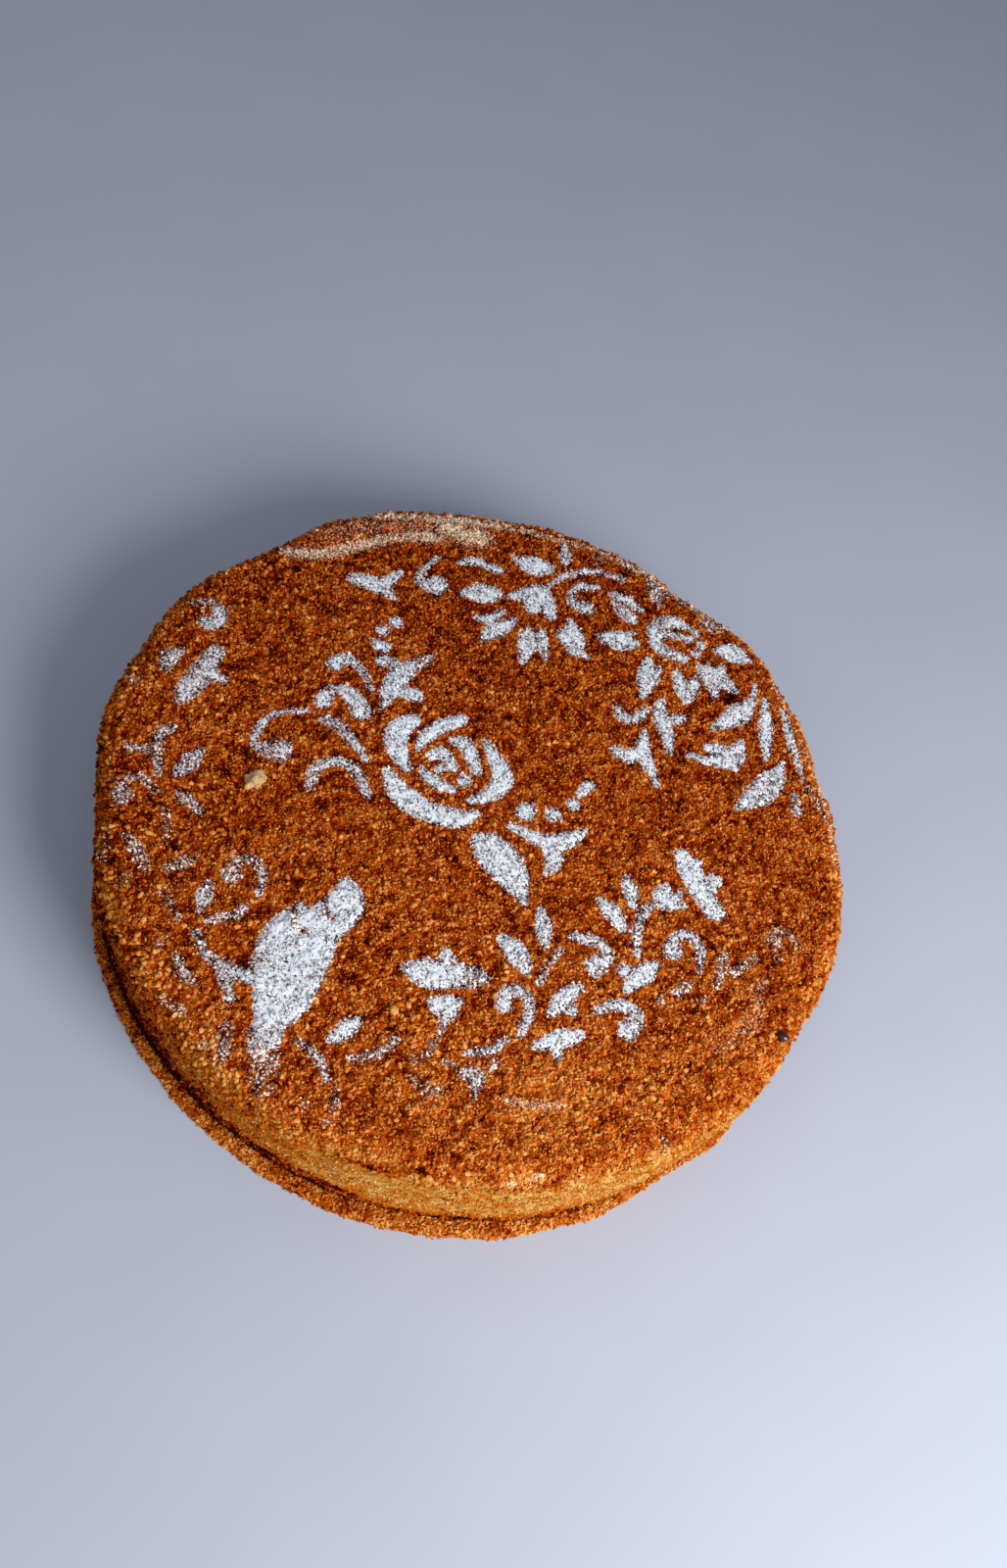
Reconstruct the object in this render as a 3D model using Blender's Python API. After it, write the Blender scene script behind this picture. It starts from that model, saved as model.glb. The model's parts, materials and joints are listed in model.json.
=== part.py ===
"""A whole medovik, the Russian honey layer cake, under its coat of honey biscuit crumbs.

The cake is one solid: a low drum with a rolled rim and an uneven outline. The larger crumbs of
its coat, a pale chunk, a dark bead of honey and the icing sugar that was sifted over its top
through a cut pattern are fused to it. The crumbs that fell lie round its foot as a second solid.
Metres, +Z up. The origin is in the middle of the base, and the front of the cake faces -Y.
"""

import math
import random

import bmesh
import bpy
from mathutils import Euler, Matrix, Vector, geometry, noise

MM = 0.001

# The drum
CAKE_RADIUS = 134.0 * MM
CAKE_HEIGHT = 47.3 * MM
RIM_ROUND = 12.0 * MM
FOOT_TUCK = 1.2 * MM
FOOT_HEIGHT = 2.2 * MM
SEGMENTS = 88
# Rings of points on the flat of the top: share of its radius, number of points
TOP_RINGS = ((0.0, 1), (0.25, 8), (0.5, 16), (0.74, 24), (0.91, 44))
RIM_STEPS = 3
SIDE_STEPS = 6
# Bulges and dents of the outline: direction in degrees, half width in degrees, height
BULGES = (
    (18, 5, -1.2 * MM),
    (31, 5, -2.8 * MM),
    (57, 7, 2.8 * MM),
    (73, 5, -2.6 * MM),
    (111, 8, -1.6 * MM),
    (127, 4, 1.2 * MM),
    (138, 4, 1.5 * MM),
    (150, 5, -1.6 * MM),
    (168, 10, 2.6 * MM),
    (190, 8, 2.2 * MM),
    (206, 8, -1.6 * MM),
    (345, 8, -2.0 * MM),
)
TOP_SWELL = 0.5 * MM
TOP_SWELL_LENGTH = 38 * MM
SIDE_RIDGE = 0.7 * MM
SIDE_RIDGE_LENGTH = 34 * MM
SIDE_RIDGE_RISE = 7 * MM

# The sugar
SUGAR_THICK = 0.8 * MM
SUGAR_THICK_SPREAD = 0.15 * MM
SUGAR_SLOPE = 0.35 * MM
SUGAR_SUNK = 2.0 * MM
STROKE_STEP = 8.5 * MM
SHORTEST_STEP = 0.6 * MM
POINTED_END = 3.0 * MM
END_REACH = 0.45
DOT_SIDES = 6

# The crumbs that are large enough to see one by one
CRUMB_SEED = 41
TOP_CRUMBS = 54
SIDE_CRUMBS = 36
CRUMB_SIZE = (2.2 * MM, 4.0 * MM)
SIDE_CRUMB_SHARE = 0.8
CRUMB_ROUGHNESS = 0.24
CRUMB_WIDE = (0.75, 1.0)
CRUMB_TALL = (0.65, 0.9)
CRUMB_SUNK = 0.42
CRUMB_APART = 9 * MM
CRUMBS_OFF_EDGE = 5.4 * MM
CRUMBS_OFF_SUGAR = 0.8
SIDE_CRUMBS_FROM = 9 * MM
CHUNK_SIZE = 5.7 * MM
CHUNK_SUNK = 0.25
CHUNK_PLACE = (-74 * MM, -30.7 * MM)
BEAD_SIZE = 4.2 * MM
BEAD_SUNK = 0.3
BEAD_ROUGHNESS = 0.1
BEAD_DIRECTION = -19.4
BEAD_REACH = 127 * MM
LEDGE_CRUMB_SIZE = 5.0 * MM
LEDGE_CRUMB_DIRECTION = -22.5
LEDGE_CRUMB_REACH = 129 * MM

# The crumbs that lie round the foot
RING_GAP = 0.3 * MM
RING_WIDTH = 4.6 * MM
RING_HEIGHT = 1.9 * MM
# Where the ring is wider or narrower: direction in degrees, half width in degrees, amount
RING_WIDTHS = ((204, 16, -1.8 * MM), (283, 26, 1.6 * MM), (321, 6, -2.6 * MM))
# Its section: heights and places as shares of the crest's height and of the ring's width
RING_INNER_HEIGHT = 0.75
RING_CREST_PLACE = 0.35
RING_SHOULDER_PLACE = 0.85
RING_SHOULDER_HEIGHT = 0.6
RING_CRUMBS = 36
RING_CRUMB_SIZE = (1.8 * MM, 2.8 * MM)
RING_CRUMB_ROOM = 0.6
RING_RUFFLE = 0.7 * MM
RING_RUFFLES = 9
RING_CREST_SPREAD = 0.35
RING_CREST_LENGTH = 4.5 * MM

# The pattern of the sugar, as brush strokes. A stroke is its knots, each with x, y and the
# stroke's width there in millimetres from the middle of the cake. One knot is a round dot.
PATTERN = {
    "rose": (
        ((-36.5, 15.5, 6), (-39.5, 9, 8.5), (-37.5, 2.5, 8), (-30.5, -4, 3)),
        ((-20.5, 24, 5), (-26, 18.5, 6), (-29.7, 11.5, 5), (-30.5, 5, 2)),
        ((-36.5, -8.5, 4), (-29, -14, 8.5), (-19.5, -16, 8.5), (-8.5, -14.5, 7.5), (-2, -9.5, 2.5)),
        ((-10, 19.5, 2.5), (-4.5, 14.5, 5.5), (1, 8, 8), (-0.5, 0, 6), (-6, -5.5, 3)),
        ((-20.5, 14.5, 3), (-15, 14.5, 6), (-8.5, 6.5, 4)),
        ((-27, -1, 2), (-21, -4.5, 5), (-13.5, -4.5, 3)),
        ((-25.5, 4.5, 3), (-22.5, 8, 5), (-16.5, 4, 3.5)),
        ((-20.5, 1.2, 4),),
        ((-10.8, 0.8, 5.5),),
    ),
    "berries": (
        ((13, -1.2, 7.5),),
        ((22.3, 2, 6),),
        ((27.5, 9, 5),),
        ((28.5, 14.5, 3.5), (30.3, 19, 5)),
        ((-58.3, 53, 5.5),),
        ((-61.2, 47, 4.8),),
        ((-60.3, 40.4, 5.2), (-57.8, 40.4, 5.2)),
        ((49, 106, 4),),
        ((52.7, 101.2, 4),),
        ((52, 96.2, 4),),
    ),
    "leaves": (
        ((2.5, -19, 7), (9.5, -22, 14), (17, -26.5, 11), (23.8, -34, 3)),
        ((6, -15.5, 4),),
        ((30, -34.5, 3.5), (32.8, -40, 6), (35.5, -47, 2)),
        ((21, -49.5, 3), (27.5, -52.5, 8), (32.5, -57, 3.5)),
        ((50.5, -54.5, 3), (46.8, -60.5, 6.5), (44.5, -67, 3)),
        ((48, -63, 3), (51, -63.8, 4)),
        ((54, -9.7, 3), (56.5, -14, 6), (59, -19, 2.5)),
        ((47, -21.7, 2.5), (53, -24.5, 6.5), (58, -28.5, 3.5)),
        ((-48, 91.5, 2), (-41, 96, 4.5), (-31.5, 95.7, 3)),
        ((-28.5, 105.5, 2.5), (-20.8, 105.2, 9.5), (-14.5, 107.5, 5)),
        ((-40.5, 78.8, 3), (-34, 81.8, 9.5), (-29.5, 84.5, 6)),
        ((59.5, 102, 4), (65.5, 104, 9.5), (74, 104.3, 2)),
        ((82.7, 89, 2), (86.5, 75, 6), (89.5, 61.5, 2)),
        ((90.8, 87.5, 2), (97, 74.5, 3.5), (105, 61, 2)),
        ((96, 62.5, 2), (94, 53, 9.5), (90.5, 45.5, 10), (84, 35.5, 2)),
        ((103.7, 51, 3.5), (105.8, 45, 4.5)),
        ((-10.5, -93.5, 2), (-13.2, -98.5, 6), (-16.5, -104, 2)),
    ),
    "three-lobed leaves": (
        ((9.5, -9, 3), (18, -9.5, 4.5), (25.5, -9, 8)),
        ((26.5, -8.5, 7), (31.5, -3.5, 6), (35, 1.3, 2)),
        ((26, -11, 7.5), (28.5, -15.5, 6), (27.3, -20.8, 2)),
        ((43, 52, 2), (45, 43, 6), (54, 31, 2)),
        ((45, 43, 5), (40, 38, 6), (34, 38, 3)),
        ((-48, 15.5, 2), (-48.5, 25, 7.5), (-47, 33.5, 7.5), (-41.5, 43.5, 4)),
        ((-46, 24.5, 5), (-39.5, 26, 6)),
        ((-51, 33, 3), (-52.5, 37, 2), (-56, 34, 5)),
        ((-80.5, 64, 5), (-73, 65.5, 7), (-62.8, 63, 2.5)),
        ((-69, 66, 7), (-65.5, 76, 2.5)),
    ),
    "bell flowers": (
        ((-12, 98, 2), (-17, 92, 7), (-23.5, 86, 3)),
        ((-12, 96, 4), (-14, 89, 9), (-13.7, 83, 3)),
        ((-11, 94, 4), (-8, 88, 7), (-6, 84.5, 3)),
        ((-32.5, 70, 2), (-27.5, 71.5, 5), (-23.5, 78.5, 2)),
        ((-18.7, 76.5, 2.5), (-20.8, 71, 6), (-24, 67, 7), (-26, 61, 2)),
        ((-12, 74, 4), (-10.5, 68.5, 8), (-9.3, 58.5, 2.5)),
        ((-7, 77, 2.5), (-5.2, 71, 5), (-1.5, 64.5, 2)),
        ((1.8, 86.5, 3.5), (5, 80.5, 8), (7.3, 75, 8)),
        ((-1.2, 80, 2), (3, 77, 6), (12.5, 73.7, 2)),
        ((12.5, 107.7, 3), (19, 107.7, 5.5), (26, 106, 2.5)),
        ((14.5, 104, 2.5), (20.3, 100.8, 6.5), (24.5, 99.3, 3.5)),
        ((13.5, 85.3, 2), (21, 86.5, 9), (29, 89, 3)),
        ((22, 90, 4), (26, 93.5, 2)),
        ((45.5, 107.5, 3), (37.5, 106.5, 6), (33.7, 99, 7), (38, 91.5, 6), (48, 91.5, 4)),
        ((36, 99.5, 5), (48, 101.7, 3)),
        ((35, 84, 3), (36.7, 76.5, 8.5), (37.8, 66, 2)),
        ((40.2, 81.5, 3), (39, 75, 5)),
        ((54.5, 91, 2.5), (60, 87.5, 8.5), (63.7, 80.5, 3)),
        ((62.5, 95, 2.5), (64, 90, 7), (71, 86.5, 3)),
        ((57.7, 94.7, 2), (60, 90, 5)),
        ((46.5, 84, 2.5), (50.5, 78, 6.5), (53.7, 71.5, 2)),
        ((54.5, 84.5, 2.5), (54.7, 78.5, 6), (53.7, 73, 4)),
        ((45, 67.5, 3.5), (46.5, 61, 6.5), (51.5, 54, 5.5), (54, 47, 2.5)),
        ((49, 60, 4.5), (54.2, 64, 4.5)),
        ((77.7, 93.5, 2), (78, 85, 3.5), (74.5, 76.5, 9), (66.7, 65, 2.5)),
        ((61.5, 49.7, 3), (70, 51, 5), (77, 56, 9), (78.7, 64.5, 3)),
        ((67, 56.5, 4), (73, 58, 5)),
        ((80.7, 58, 3.5), (79.6, 51.5, 2)),
    ),
    "buds": (
        ((70.3, 7.2, 6.5), (75, 2.2, 9), (81, -4.5, 7.5), (86.5, -8.3, 7.5)),
        ((83.5, 3.2, 5.5), (82.5, -3, 4)),
        ((75.7, 6.7, 4.5),),
        ((68.5, -6, 2.5), (67.8, -10.8, 7.5), (71, -13, 4), (76, -11, 2)),
        ((73.3, -6.5, 2), (72, -11, 4)),
        ((-3.5, -72, 4), (3, -71.2, 10), (10, -68.5, 9), (18.7, -65.5, 7.5)),
        ((6, -61.5, 3), (8.5, -66.5, 7)),
        ((7, -79, 2), (12, -79, 7.5), (16, -75.5, 3)),
        ((13.5, -80, 6.5), (14, -86, 2), (13, -95, 2)),
        ((55.7, -70.3, 3.5), (50.5, -73.8, 6.5), (43, -79.5, 2.5)),
        ((49, -76, 5), (51.7, -80.7, 2)),
        ((72.5, -36, 3), (68.8, -42, 7.5), (65.3, -49, 3)),
        ((63, -43, 5),),
        ((112, -16, 3),),
    ),
    "stems": (
        ((14.5, 117.5, 2.5), (3, 115.3, 3), (-6, 108.5, 3), (-11.7, 99, 2)),
        ((65.5, -15, 3), (62.8, -21.5, 3.5), (63, -28.5, 3.5), (65.5, -35.5, 3)),
        ((40.5, -45.5, 3), (38.5, -52, 3), (37.8, -59, 3)),
        ((34, -81.3, 2), (31, -86, 3.5), (23.5, -90.5, 2)),
        ((93.5, -23, 3), (94, -34, 3.5)),
        ((98.3, -27.3, 4.5), (104.7, -19.3, 2.5)),
        ((-65, 1, 3), (-59.5, 1.2, 4.5), (-52, -2.3, 4), (-45, -7, 2.5)),
    ),
    "curls": (
        ((5.2, 96, 7), (-1.5, 96, 3.5), (-1.5, 103.5, 3), (5.5, 107.2, 3.5)),
        ((-51, 77, 9), (-57.8, 75, 3.5), (-58.5, 82, 3), (-55.3, 89.5, 2)),
        ((-70.5, 25, 6.5), (-67.5, 29.5, 4.5), (-60.5, 26.5, 3.5), (-54.3, 20.3, 2)),
        ((-68, 8.3, 6.5), (-67, 14, 4), (-61.5, 15.5, 6), (-54, 10.7, 8)),
        ((-73, -17, 9), (-80.5, -19, 3.5), (-83, -11, 3), (-79, -2.8, 2.5), (-71, 2, 2)),
        ((-57.8, -25.5, 4), (-59, -18, 4.5), (-54.5, -12.7, 4), (-47, -12.5, 4), (-39, -20, 3)),
        ((40.5, 61.3, 2.5), (38.3, 56, 4.5), (33.3, 53.7, 5), (30.2, 57, 3.5)),
        ((76.5, -29.2, 7), (75.8, -24, 4), (81, -21, 4), (85.7, -25.5, 4), (87, -32, 2.5)),
        ((53.3, -45.7, 7.5), (56.3, -40, 4), (51.3, -37, 4), (43.5, -39, 3.5)),
        ((70, -61.7, 7.5), (72, -56.3, 4), (66, -54.3, 4.5), (58.3, -59.7, 3)),
        ((29.5, -70.5, 6), (28.8, -66, 4), (33.5, -64.2, 4), (37.8, -69, 4), (37.7, -78, 2.5)),
        ((-67, -65.7, 6.5), (-67.3, -60.5, 3.5), (-62, -58.7, 4), (-57.7, -62.5, 3.5), (-56.3, -69, 2)),
        ((-110, -55.7, 6), (-113.8, -51.5, 3), (-109, -47.2, 3.5), (-101.7, -49.3, 2.5)),
        ((109.3, -10.7, 6.5), (109, -6.5, 3), (113.5, -4.8, 3), (118, -8, 2)),
    ),
    "bird": (
        (
            (-31.5, -54.5, 7),
            (-30, -61, 13),
            (-34, -71.5, 15),
            (-37.5, -83.5, 23),
            (-35.3, -96, 18),
            (-35, -105, 10),
            (-32.3, -114, 7.5),
            (-27.5, -124, 4),
        ),
        ((-42.5, -68.5, 6), (-46, -79, 7.5), (-46, -91, 5)),
        ((-68, -88.5, 2.5), (-62, -93.7, 3.5), (-54, -95.3, 4), (-46, -95, 5)),
        ((-54.5, -97, 5), (-49, -104, 3)),
    ),
    "outer leaves": (
        ((-121.5, 28.3, 2.5), (-116, 26.5, 5), (-115, 21.5, 6), (-118.3, 19.3, 6)),
        ((-109.7, 9.7, 6), (-110, 2, 8), (-110.5, -7, 9), (-111.3, -13.5, 5)),
        ((-107, 0.3, 6), (-102.3, 0, 3.5)),
        ((-120.3, 5.5, 2.5), (-122.5, -1.2, 6.5), (-120.5, -5.5, 2.5)),
        ((-108.5, -25, 3), (-110.7, -31, 4.5), (-104.3, -43.5, 2.5)),
        ((-117, -38.7, 3.5), (-110.5, -36, 3.5)),
        ((-96, -28.7, 2.5), (-97.3, -35, 7), (-98.7, -39.7, 4)),
        ((-79.5, -65.3, 2), (-82.5, -69, 5), (-86.5, -73, 2)),
        ((-102, -68, 3), (-96, -72, 5), (-92, -75, 3)),
        ((-71.5, -71.7, 2.5), (-71.2, -77, 5.5), (-70, -81.5, 2)),
    ),
}


ANGLES = [360 * step / SEGMENTS for step in range(SEGMENTS)]
UP = Vector((0, 0, 1))


def planar(angle, radius):
    """A direction in degrees and a distance as x and y."""
    return radius * math.cos(math.radians(angle)), radius * math.sin(math.radians(angle))


def bulged(angle, bulges):
    """The sum of some bulges in a direction, each falling smoothly to nothing beside its middle."""
    total = 0.0
    for middle, half_width, amount in bulges:
        away = abs((angle - middle + 180) % 360 - 180)
        total += amount * math.exp(-((away / half_width) ** 2))
    return total


def cake_radius(angle):
    """The drum's radius in plan, in a direction in degrees."""
    return CAKE_RADIUS + bulged(angle, BULGES)


def ring_radius(angle):
    """The radius that the loose crumbs reach."""
    ruffle = RING_RUFFLE * noise.noise(Vector((*planar(angle, RING_RUFFLES), 0)))
    return cake_radius(angle) + RING_WIDTH + bulged(angle, RING_WIDTHS) + ruffle


def middle_of_outline():
    """How far the drum's own centre lies from the middle of the box round the whole part."""
    edge = [planar(angle, ring_radius(angle)) for angle in ANGLES]
    xs = [x for x, y in edge]
    ys = [y for x, y in edge]
    return Vector((-(min(xs) + max(xs)) / 2, -(min(ys) + max(ys)) / 2, 0))


CENTRE = middle_of_outline()


def at(angle, radius, height):
    """A point given by its direction in degrees, its distance from the drum's centre and its height."""
    return CENTRE + Vector((*planar(angle, radius), height))


def top_height(x, y):
    """The height of the crumbs on top, at a place measured from the drum's centre."""
    radius = math.hypot(x, y)
    edge = cake_radius(math.degrees(math.atan2(y, x)))
    rolled = max(0.0, radius - (edge - RIM_ROUND))
    drop = RIM_ROUND - math.sqrt(max(0.0, RIM_ROUND**2 - rolled**2))
    swell = noise.noise(Vector((x, y, 0)) / TOP_SWELL_LENGTH) * TOP_SWELL
    return CAKE_HEIGHT + swell - drop


def side_radius(angle, height):
    """The drum's radius at a height on its side, with the low ridges left by smoothing the crumbs."""
    place = Vector((*planar(angle, CAKE_RADIUS / SIDE_RIDGE_LENGTH), height / SIDE_RIDGE_RISE))
    tuck = FOOT_TUCK * max(0.0, 1 - height / FOOT_HEIGHT)
    return cake_radius(angle) + noise.noise(place) * SIDE_RIDGE - tuck


def make_material(name, colour, roughness):
    material = bpy.data.materials.new(name)
    material.use_nodes = True
    shader = material.node_tree.nodes["Principled BSDF"]
    shader.inputs["Base Color"].default_value = (*colour, 1)
    shader.inputs["Roughness"].default_value = roughness
    shader.inputs["Metallic"].default_value = 0
    return material


def make_object(name, mesh_builder, material, home):
    """Turns a bmesh into an object of outward triangles, in the given collection."""
    mesh_builder.normal_update()
    bmesh.ops.recalc_face_normals(mesh_builder, faces=mesh_builder.faces)
    bmesh.ops.triangulate(mesh_builder, faces=mesh_builder.faces)
    mesh = bpy.data.meshes.new(name)
    mesh_builder.to_mesh(mesh)
    mesh_builder.free()
    mesh.materials.append(material)
    made = bpy.data.objects.new(name, mesh)
    home.objects.link(made)
    return made


def bridge_rings(shape, rings):
    """Faces between each closed ring of vertices and the next."""
    for upper, lower in zip(rings, rings[1:]):
        for step in range(SEGMENTS):
            following = (step + 1) % SEGMENTS
            shape.faces.new((upper[step], upper[following], lower[following], lower[step]))


def fill_top(shape, edge):
    """Triangles over the flat of the top, between its edge and rings of points inside it."""
    corners = list(edge)
    for share, count in TOP_RINGS:
        for step in range(count):
            angle = 360 * step / count
            radius = share * (cake_radius(angle) - RIM_ROUND)
            x, y = planar(angle, radius)
            corners.append(shape.verts.new(at(angle, radius, top_height(x, y))))
    edges = [(step, (step + 1) % len(edge)) for step in range(len(edge))]
    filled = geometry.delaunay_2d_cdt([corner.co.xy for corner in corners], edges, [], 1, 0)
    for triangle in filled[2]:
        shape.faces.new([corners[index] for index in triangle])


def make_drum(material, home):
    """The cake's body: rings of points round the rim and down the side, and a filled top and base."""
    shape = bmesh.new()
    side_top = CAKE_HEIGHT - RIM_ROUND
    rings = []
    for step in range(RIM_STEPS + 1):
        out = math.sin(math.radians(90 * step / RIM_STEPS))
        up = math.cos(math.radians(90 * step / RIM_STEPS))
        ring = []
        for angle in ANGLES:
            flat_edge = cake_radius(angle) - RIM_ROUND
            rise = top_height(*planar(angle, flat_edge)) - side_top
            reach = side_radius(angle, side_top) - flat_edge
            ring.append(shape.verts.new(at(angle, flat_edge + reach * out, side_top + rise * up)))
        rings.append(ring)
    for step in range(1, SIDE_STEPS + 1):
        height = side_top + (FOOT_HEIGHT - side_top) * step / SIDE_STEPS
        rings.append([shape.verts.new(at(angle, side_radius(angle, height), height)) for angle in ANGLES])
    rings.append([shape.verts.new(at(angle, side_radius(angle, 0), 0)) for angle in ANGLES])
    bridge_rings(shape, rings)
    fill_top(shape, rings[0])
    shape.faces.new(rings[-1])
    return make_object("cake", shape, material, home)


def spline_points(knots):
    """Points along a smooth curve through the knots, with the stroke's width carried along."""
    knots = [Vector(knot) * MM for knot in knots]
    ends = [knots[0]] + knots + [knots[-1]]
    points = []
    for before, start, end, after in zip(ends, ends[1:], ends[2:], ends[3:]):
        start_handle = start + (end - before) / 6
        end_handle = end - (after - start) / 6
        steps = max(1, round((end - start).xy.length / STROKE_STEP))
        points += geometry.interpolate_bezier(start, start_handle, end_handle, end, steps + 1)[:-1]
    return points + [knots[-1]]


def stroke_outline(knots):
    """The closed outline of a stroke in plan, anticlockwise, from the drum's centre."""
    if len(knots) == 1:
        x, y, width = (number * MM for number in knots[0])
        return [
            Vector((x, y)) + Matrix.Rotation(2 * math.pi * side / DOT_SIDES, 2) @ Vector((width / 2, 0))
            for side in range(DOT_SIDES)
        ]
    points = spline_points(knots)
    last = len(points) - 1
    left, right = [], []
    for index, point in enumerate(points):
        if index in (0, last) and point.z <= POINTED_END:
            continue
        ahead = (points[min(index + 1, last)] - points[max(index - 1, 0)]).xy.normalized()
        across = Vector((-ahead.y, ahead.x)) * point.z / 2
        for side, corner in ((left, point.xy + across), (right, point.xy - across)):
            if not side or (corner - side[-1]).dot(ahead) > SHORTEST_STEP:
                side.append(corner)
    tail = points[0].xy - (points[1] - points[0]).xy.normalized() * points[0].z * END_REACH
    tip = points[-1].xy + (points[-1] - points[-2]).xy.normalized() * points[-1].z * END_REACH
    return [tail] + right + [tip] + left[::-1]


def make_stroke(name, knots, thickness, material, home):
    """A stroke of sugar: a low plateau with sloping sides, its root sunk in the cake."""
    outline = stroke_outline(knots)
    shape = bmesh.new()
    lower, upper = [], []
    count = len(outline)
    for index, corner in enumerate(outline):
        along = (outline[(index + 1) % count] - outline[index - 1]).normalized()
        inward = Vector((-along.y, along.x)) * SUGAR_SLOPE
        crest = corner + inward
        root = corner - inward
        upper.append(shape.verts.new(CENTRE + Vector((*crest, top_height(*crest) + thickness))))
        lower.append(shape.verts.new(CENTRE + Vector((*root, top_height(*corner) - SUGAR_SUNK))))
    for index in range(count):
        following = (index + 1) % count
        shape.faces.new((lower[index], lower[following], upper[following], upper[index]))
    shape.faces.new(upper)
    shape.faces.new(lower[::-1])
    return make_object(name, shape, material, home)


def make_crumb(name, place, outward, size, sunk, roughness, dice, material, home):
    """An uneven lump, part of it sunk into what it lies on."""
    shape = bmesh.new()
    bmesh.ops.create_icosphere(shape, subdivisions=1, radius=size / 2)
    for corner in shape.verts:
        corner.co *= 1 + dice.uniform(-roughness, roughness)
    shape.transform(Matrix.Diagonal((1, dice.uniform(*CRUMB_WIDE), dice.uniform(*CRUMB_TALL), 1)))
    shape.transform(Euler([dice.uniform(0, 2 * math.pi) for _ in range(3)]).to_matrix().to_4x4())
    shape.transform(Matrix.Translation(place + outward * size * (0.5 - sunk)))
    return make_object(name, shape, material, home)


def apart(place, others, distance):
    return all((place - other).length > distance for other in others)


def clear_of_sugar(x, y, distance):
    """Whether a place on top keeps its distance from every stroke's knots."""
    for strokes in PATTERN.values():
        for knots in strokes:
            points = spline_points(knots) if len(knots) > 1 else [Vector(knots[0]) * MM]
            for point in points:
                if (point.xy - Vector((x, y))).length < point.z / 2 + distance:
                    return False
    return True


def scatter_crumbs(material, home):
    """The largest crumbs of the coat, spread evenly over the top, the rim and the side."""
    dice = random.Random(CRUMB_SEED)
    places = []
    while len(places) < TOP_CRUMBS:
        angle = dice.uniform(0, 360)
        radius = (cake_radius(angle) - CRUMBS_OFF_EDGE) * math.sqrt(dice.random())
        x, y = planar(angle, radius)
        place = at(angle, radius, top_height(x, y))
        size = dice.uniform(*CRUMB_SIZE)
        if not apart(place, places, CRUMB_APART) or not clear_of_sugar(x, y, size * CRUMBS_OFF_SUGAR):
            continue
        places.append(place)
        name = f"top crumb {len(places)}"
        make_crumb(name, place, UP, size, CRUMB_SUNK, CRUMB_ROUGHNESS, dice, material, home)
    while len(places) < TOP_CRUMBS + SIDE_CRUMBS:
        angle = dice.uniform(0, 360)
        height = dice.uniform(SIDE_CRUMBS_FROM, CAKE_HEIGHT - RIM_ROUND)
        place = at(angle, side_radius(angle, height), height)
        if not apart(place, places, CRUMB_APART):
            continue
        places.append(place)
        name = f"side crumb {len(places)}"
        outward = at(angle, 1, 0) - CENTRE
        size = dice.uniform(*CRUMB_SIZE) * SIDE_CRUMB_SHARE
        make_crumb(name, place, outward, size, CRUMB_SUNK, CRUMB_ROUGHNESS, dice, material, home)


def make_landmarks(crumb, chunk, bead, home):
    """The pale chunk, the dark bead at the rim and the crumb that juts out beside it."""
    dice = random.Random(CRUMB_SEED + 1)
    place = CENTRE + Vector((*CHUNK_PLACE, top_height(*CHUNK_PLACE)))
    make_crumb("chunk", place, UP, CHUNK_SIZE, CHUNK_SUNK, CRUMB_ROUGHNESS, dice, chunk, home)
    for name, direction, reach, size, material in (
        ("bead", BEAD_DIRECTION, BEAD_REACH, BEAD_SIZE, bead),
        ("ledge crumb", LEDGE_CRUMB_DIRECTION, LEDGE_CRUMB_REACH, LEDGE_CRUMB_SIZE, crumb),
    ):
        place = at(direction, reach, top_height(*planar(direction, reach)))
        make_crumb(name, place, UP, size, BEAD_SUNK, BEAD_ROUGHNESS, dice, material, home)


def fuse(body, home):
    """One union of the body with everything in the collection, which is then removed."""
    joined = body.modifiers.new("fused", "BOOLEAN")
    joined.operation = "UNION"
    joined.operand_type = "COLLECTION"
    joined.collection = home
    joined.solver = "EXACT"
    evaluated = body.evaluated_get(bpy.context.evaluated_depsgraph_get())
    whole = bpy.data.meshes.new_from_object(evaluated)
    body.modifiers.clear()
    body.data = whole
    for piece in list(home.objects):
        bpy.data.objects.remove(piece, do_unlink=True)
    bpy.data.collections.remove(home)


def make_ring(material, home):
    """The bed of loose crumbs round the foot, with an uneven outer edge and crest."""
    shape = bmesh.new()
    inner_top, inner_foot, crest, shoulder, outer = [], [], [], [], []
    for angle in ANGLES:
        inner = max(side_radius(angle, 0), side_radius(angle, FOOT_HEIGHT)) + RING_GAP
        reach = ring_radius(angle)
        bump = noise.noise(at(angle, CAKE_RADIUS, 0) / RING_CREST_LENGTH)
        crest_height = RING_HEIGHT * (1 + RING_CREST_SPREAD * bump)
        crest_reach = inner + (reach - inner) * RING_CREST_PLACE
        shoulder_reach = inner + (reach - inner) * RING_SHOULDER_PLACE
        inner_foot.append(shape.verts.new(at(angle, inner, 0)))
        inner_top.append(shape.verts.new(at(angle, inner, crest_height * RING_INNER_HEIGHT)))
        crest.append(shape.verts.new(at(angle, crest_reach, crest_height)))
        shoulder.append(shape.verts.new(at(angle, shoulder_reach, crest_height * RING_SHOULDER_HEIGHT)))
        outer.append(shape.verts.new(at(angle, reach, 0)))
    bridge_rings(shape, [inner_foot, inner_top, crest, shoulder, outer, inner_foot])
    return make_object("foot_crumbs", shape, material, home)


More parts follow.
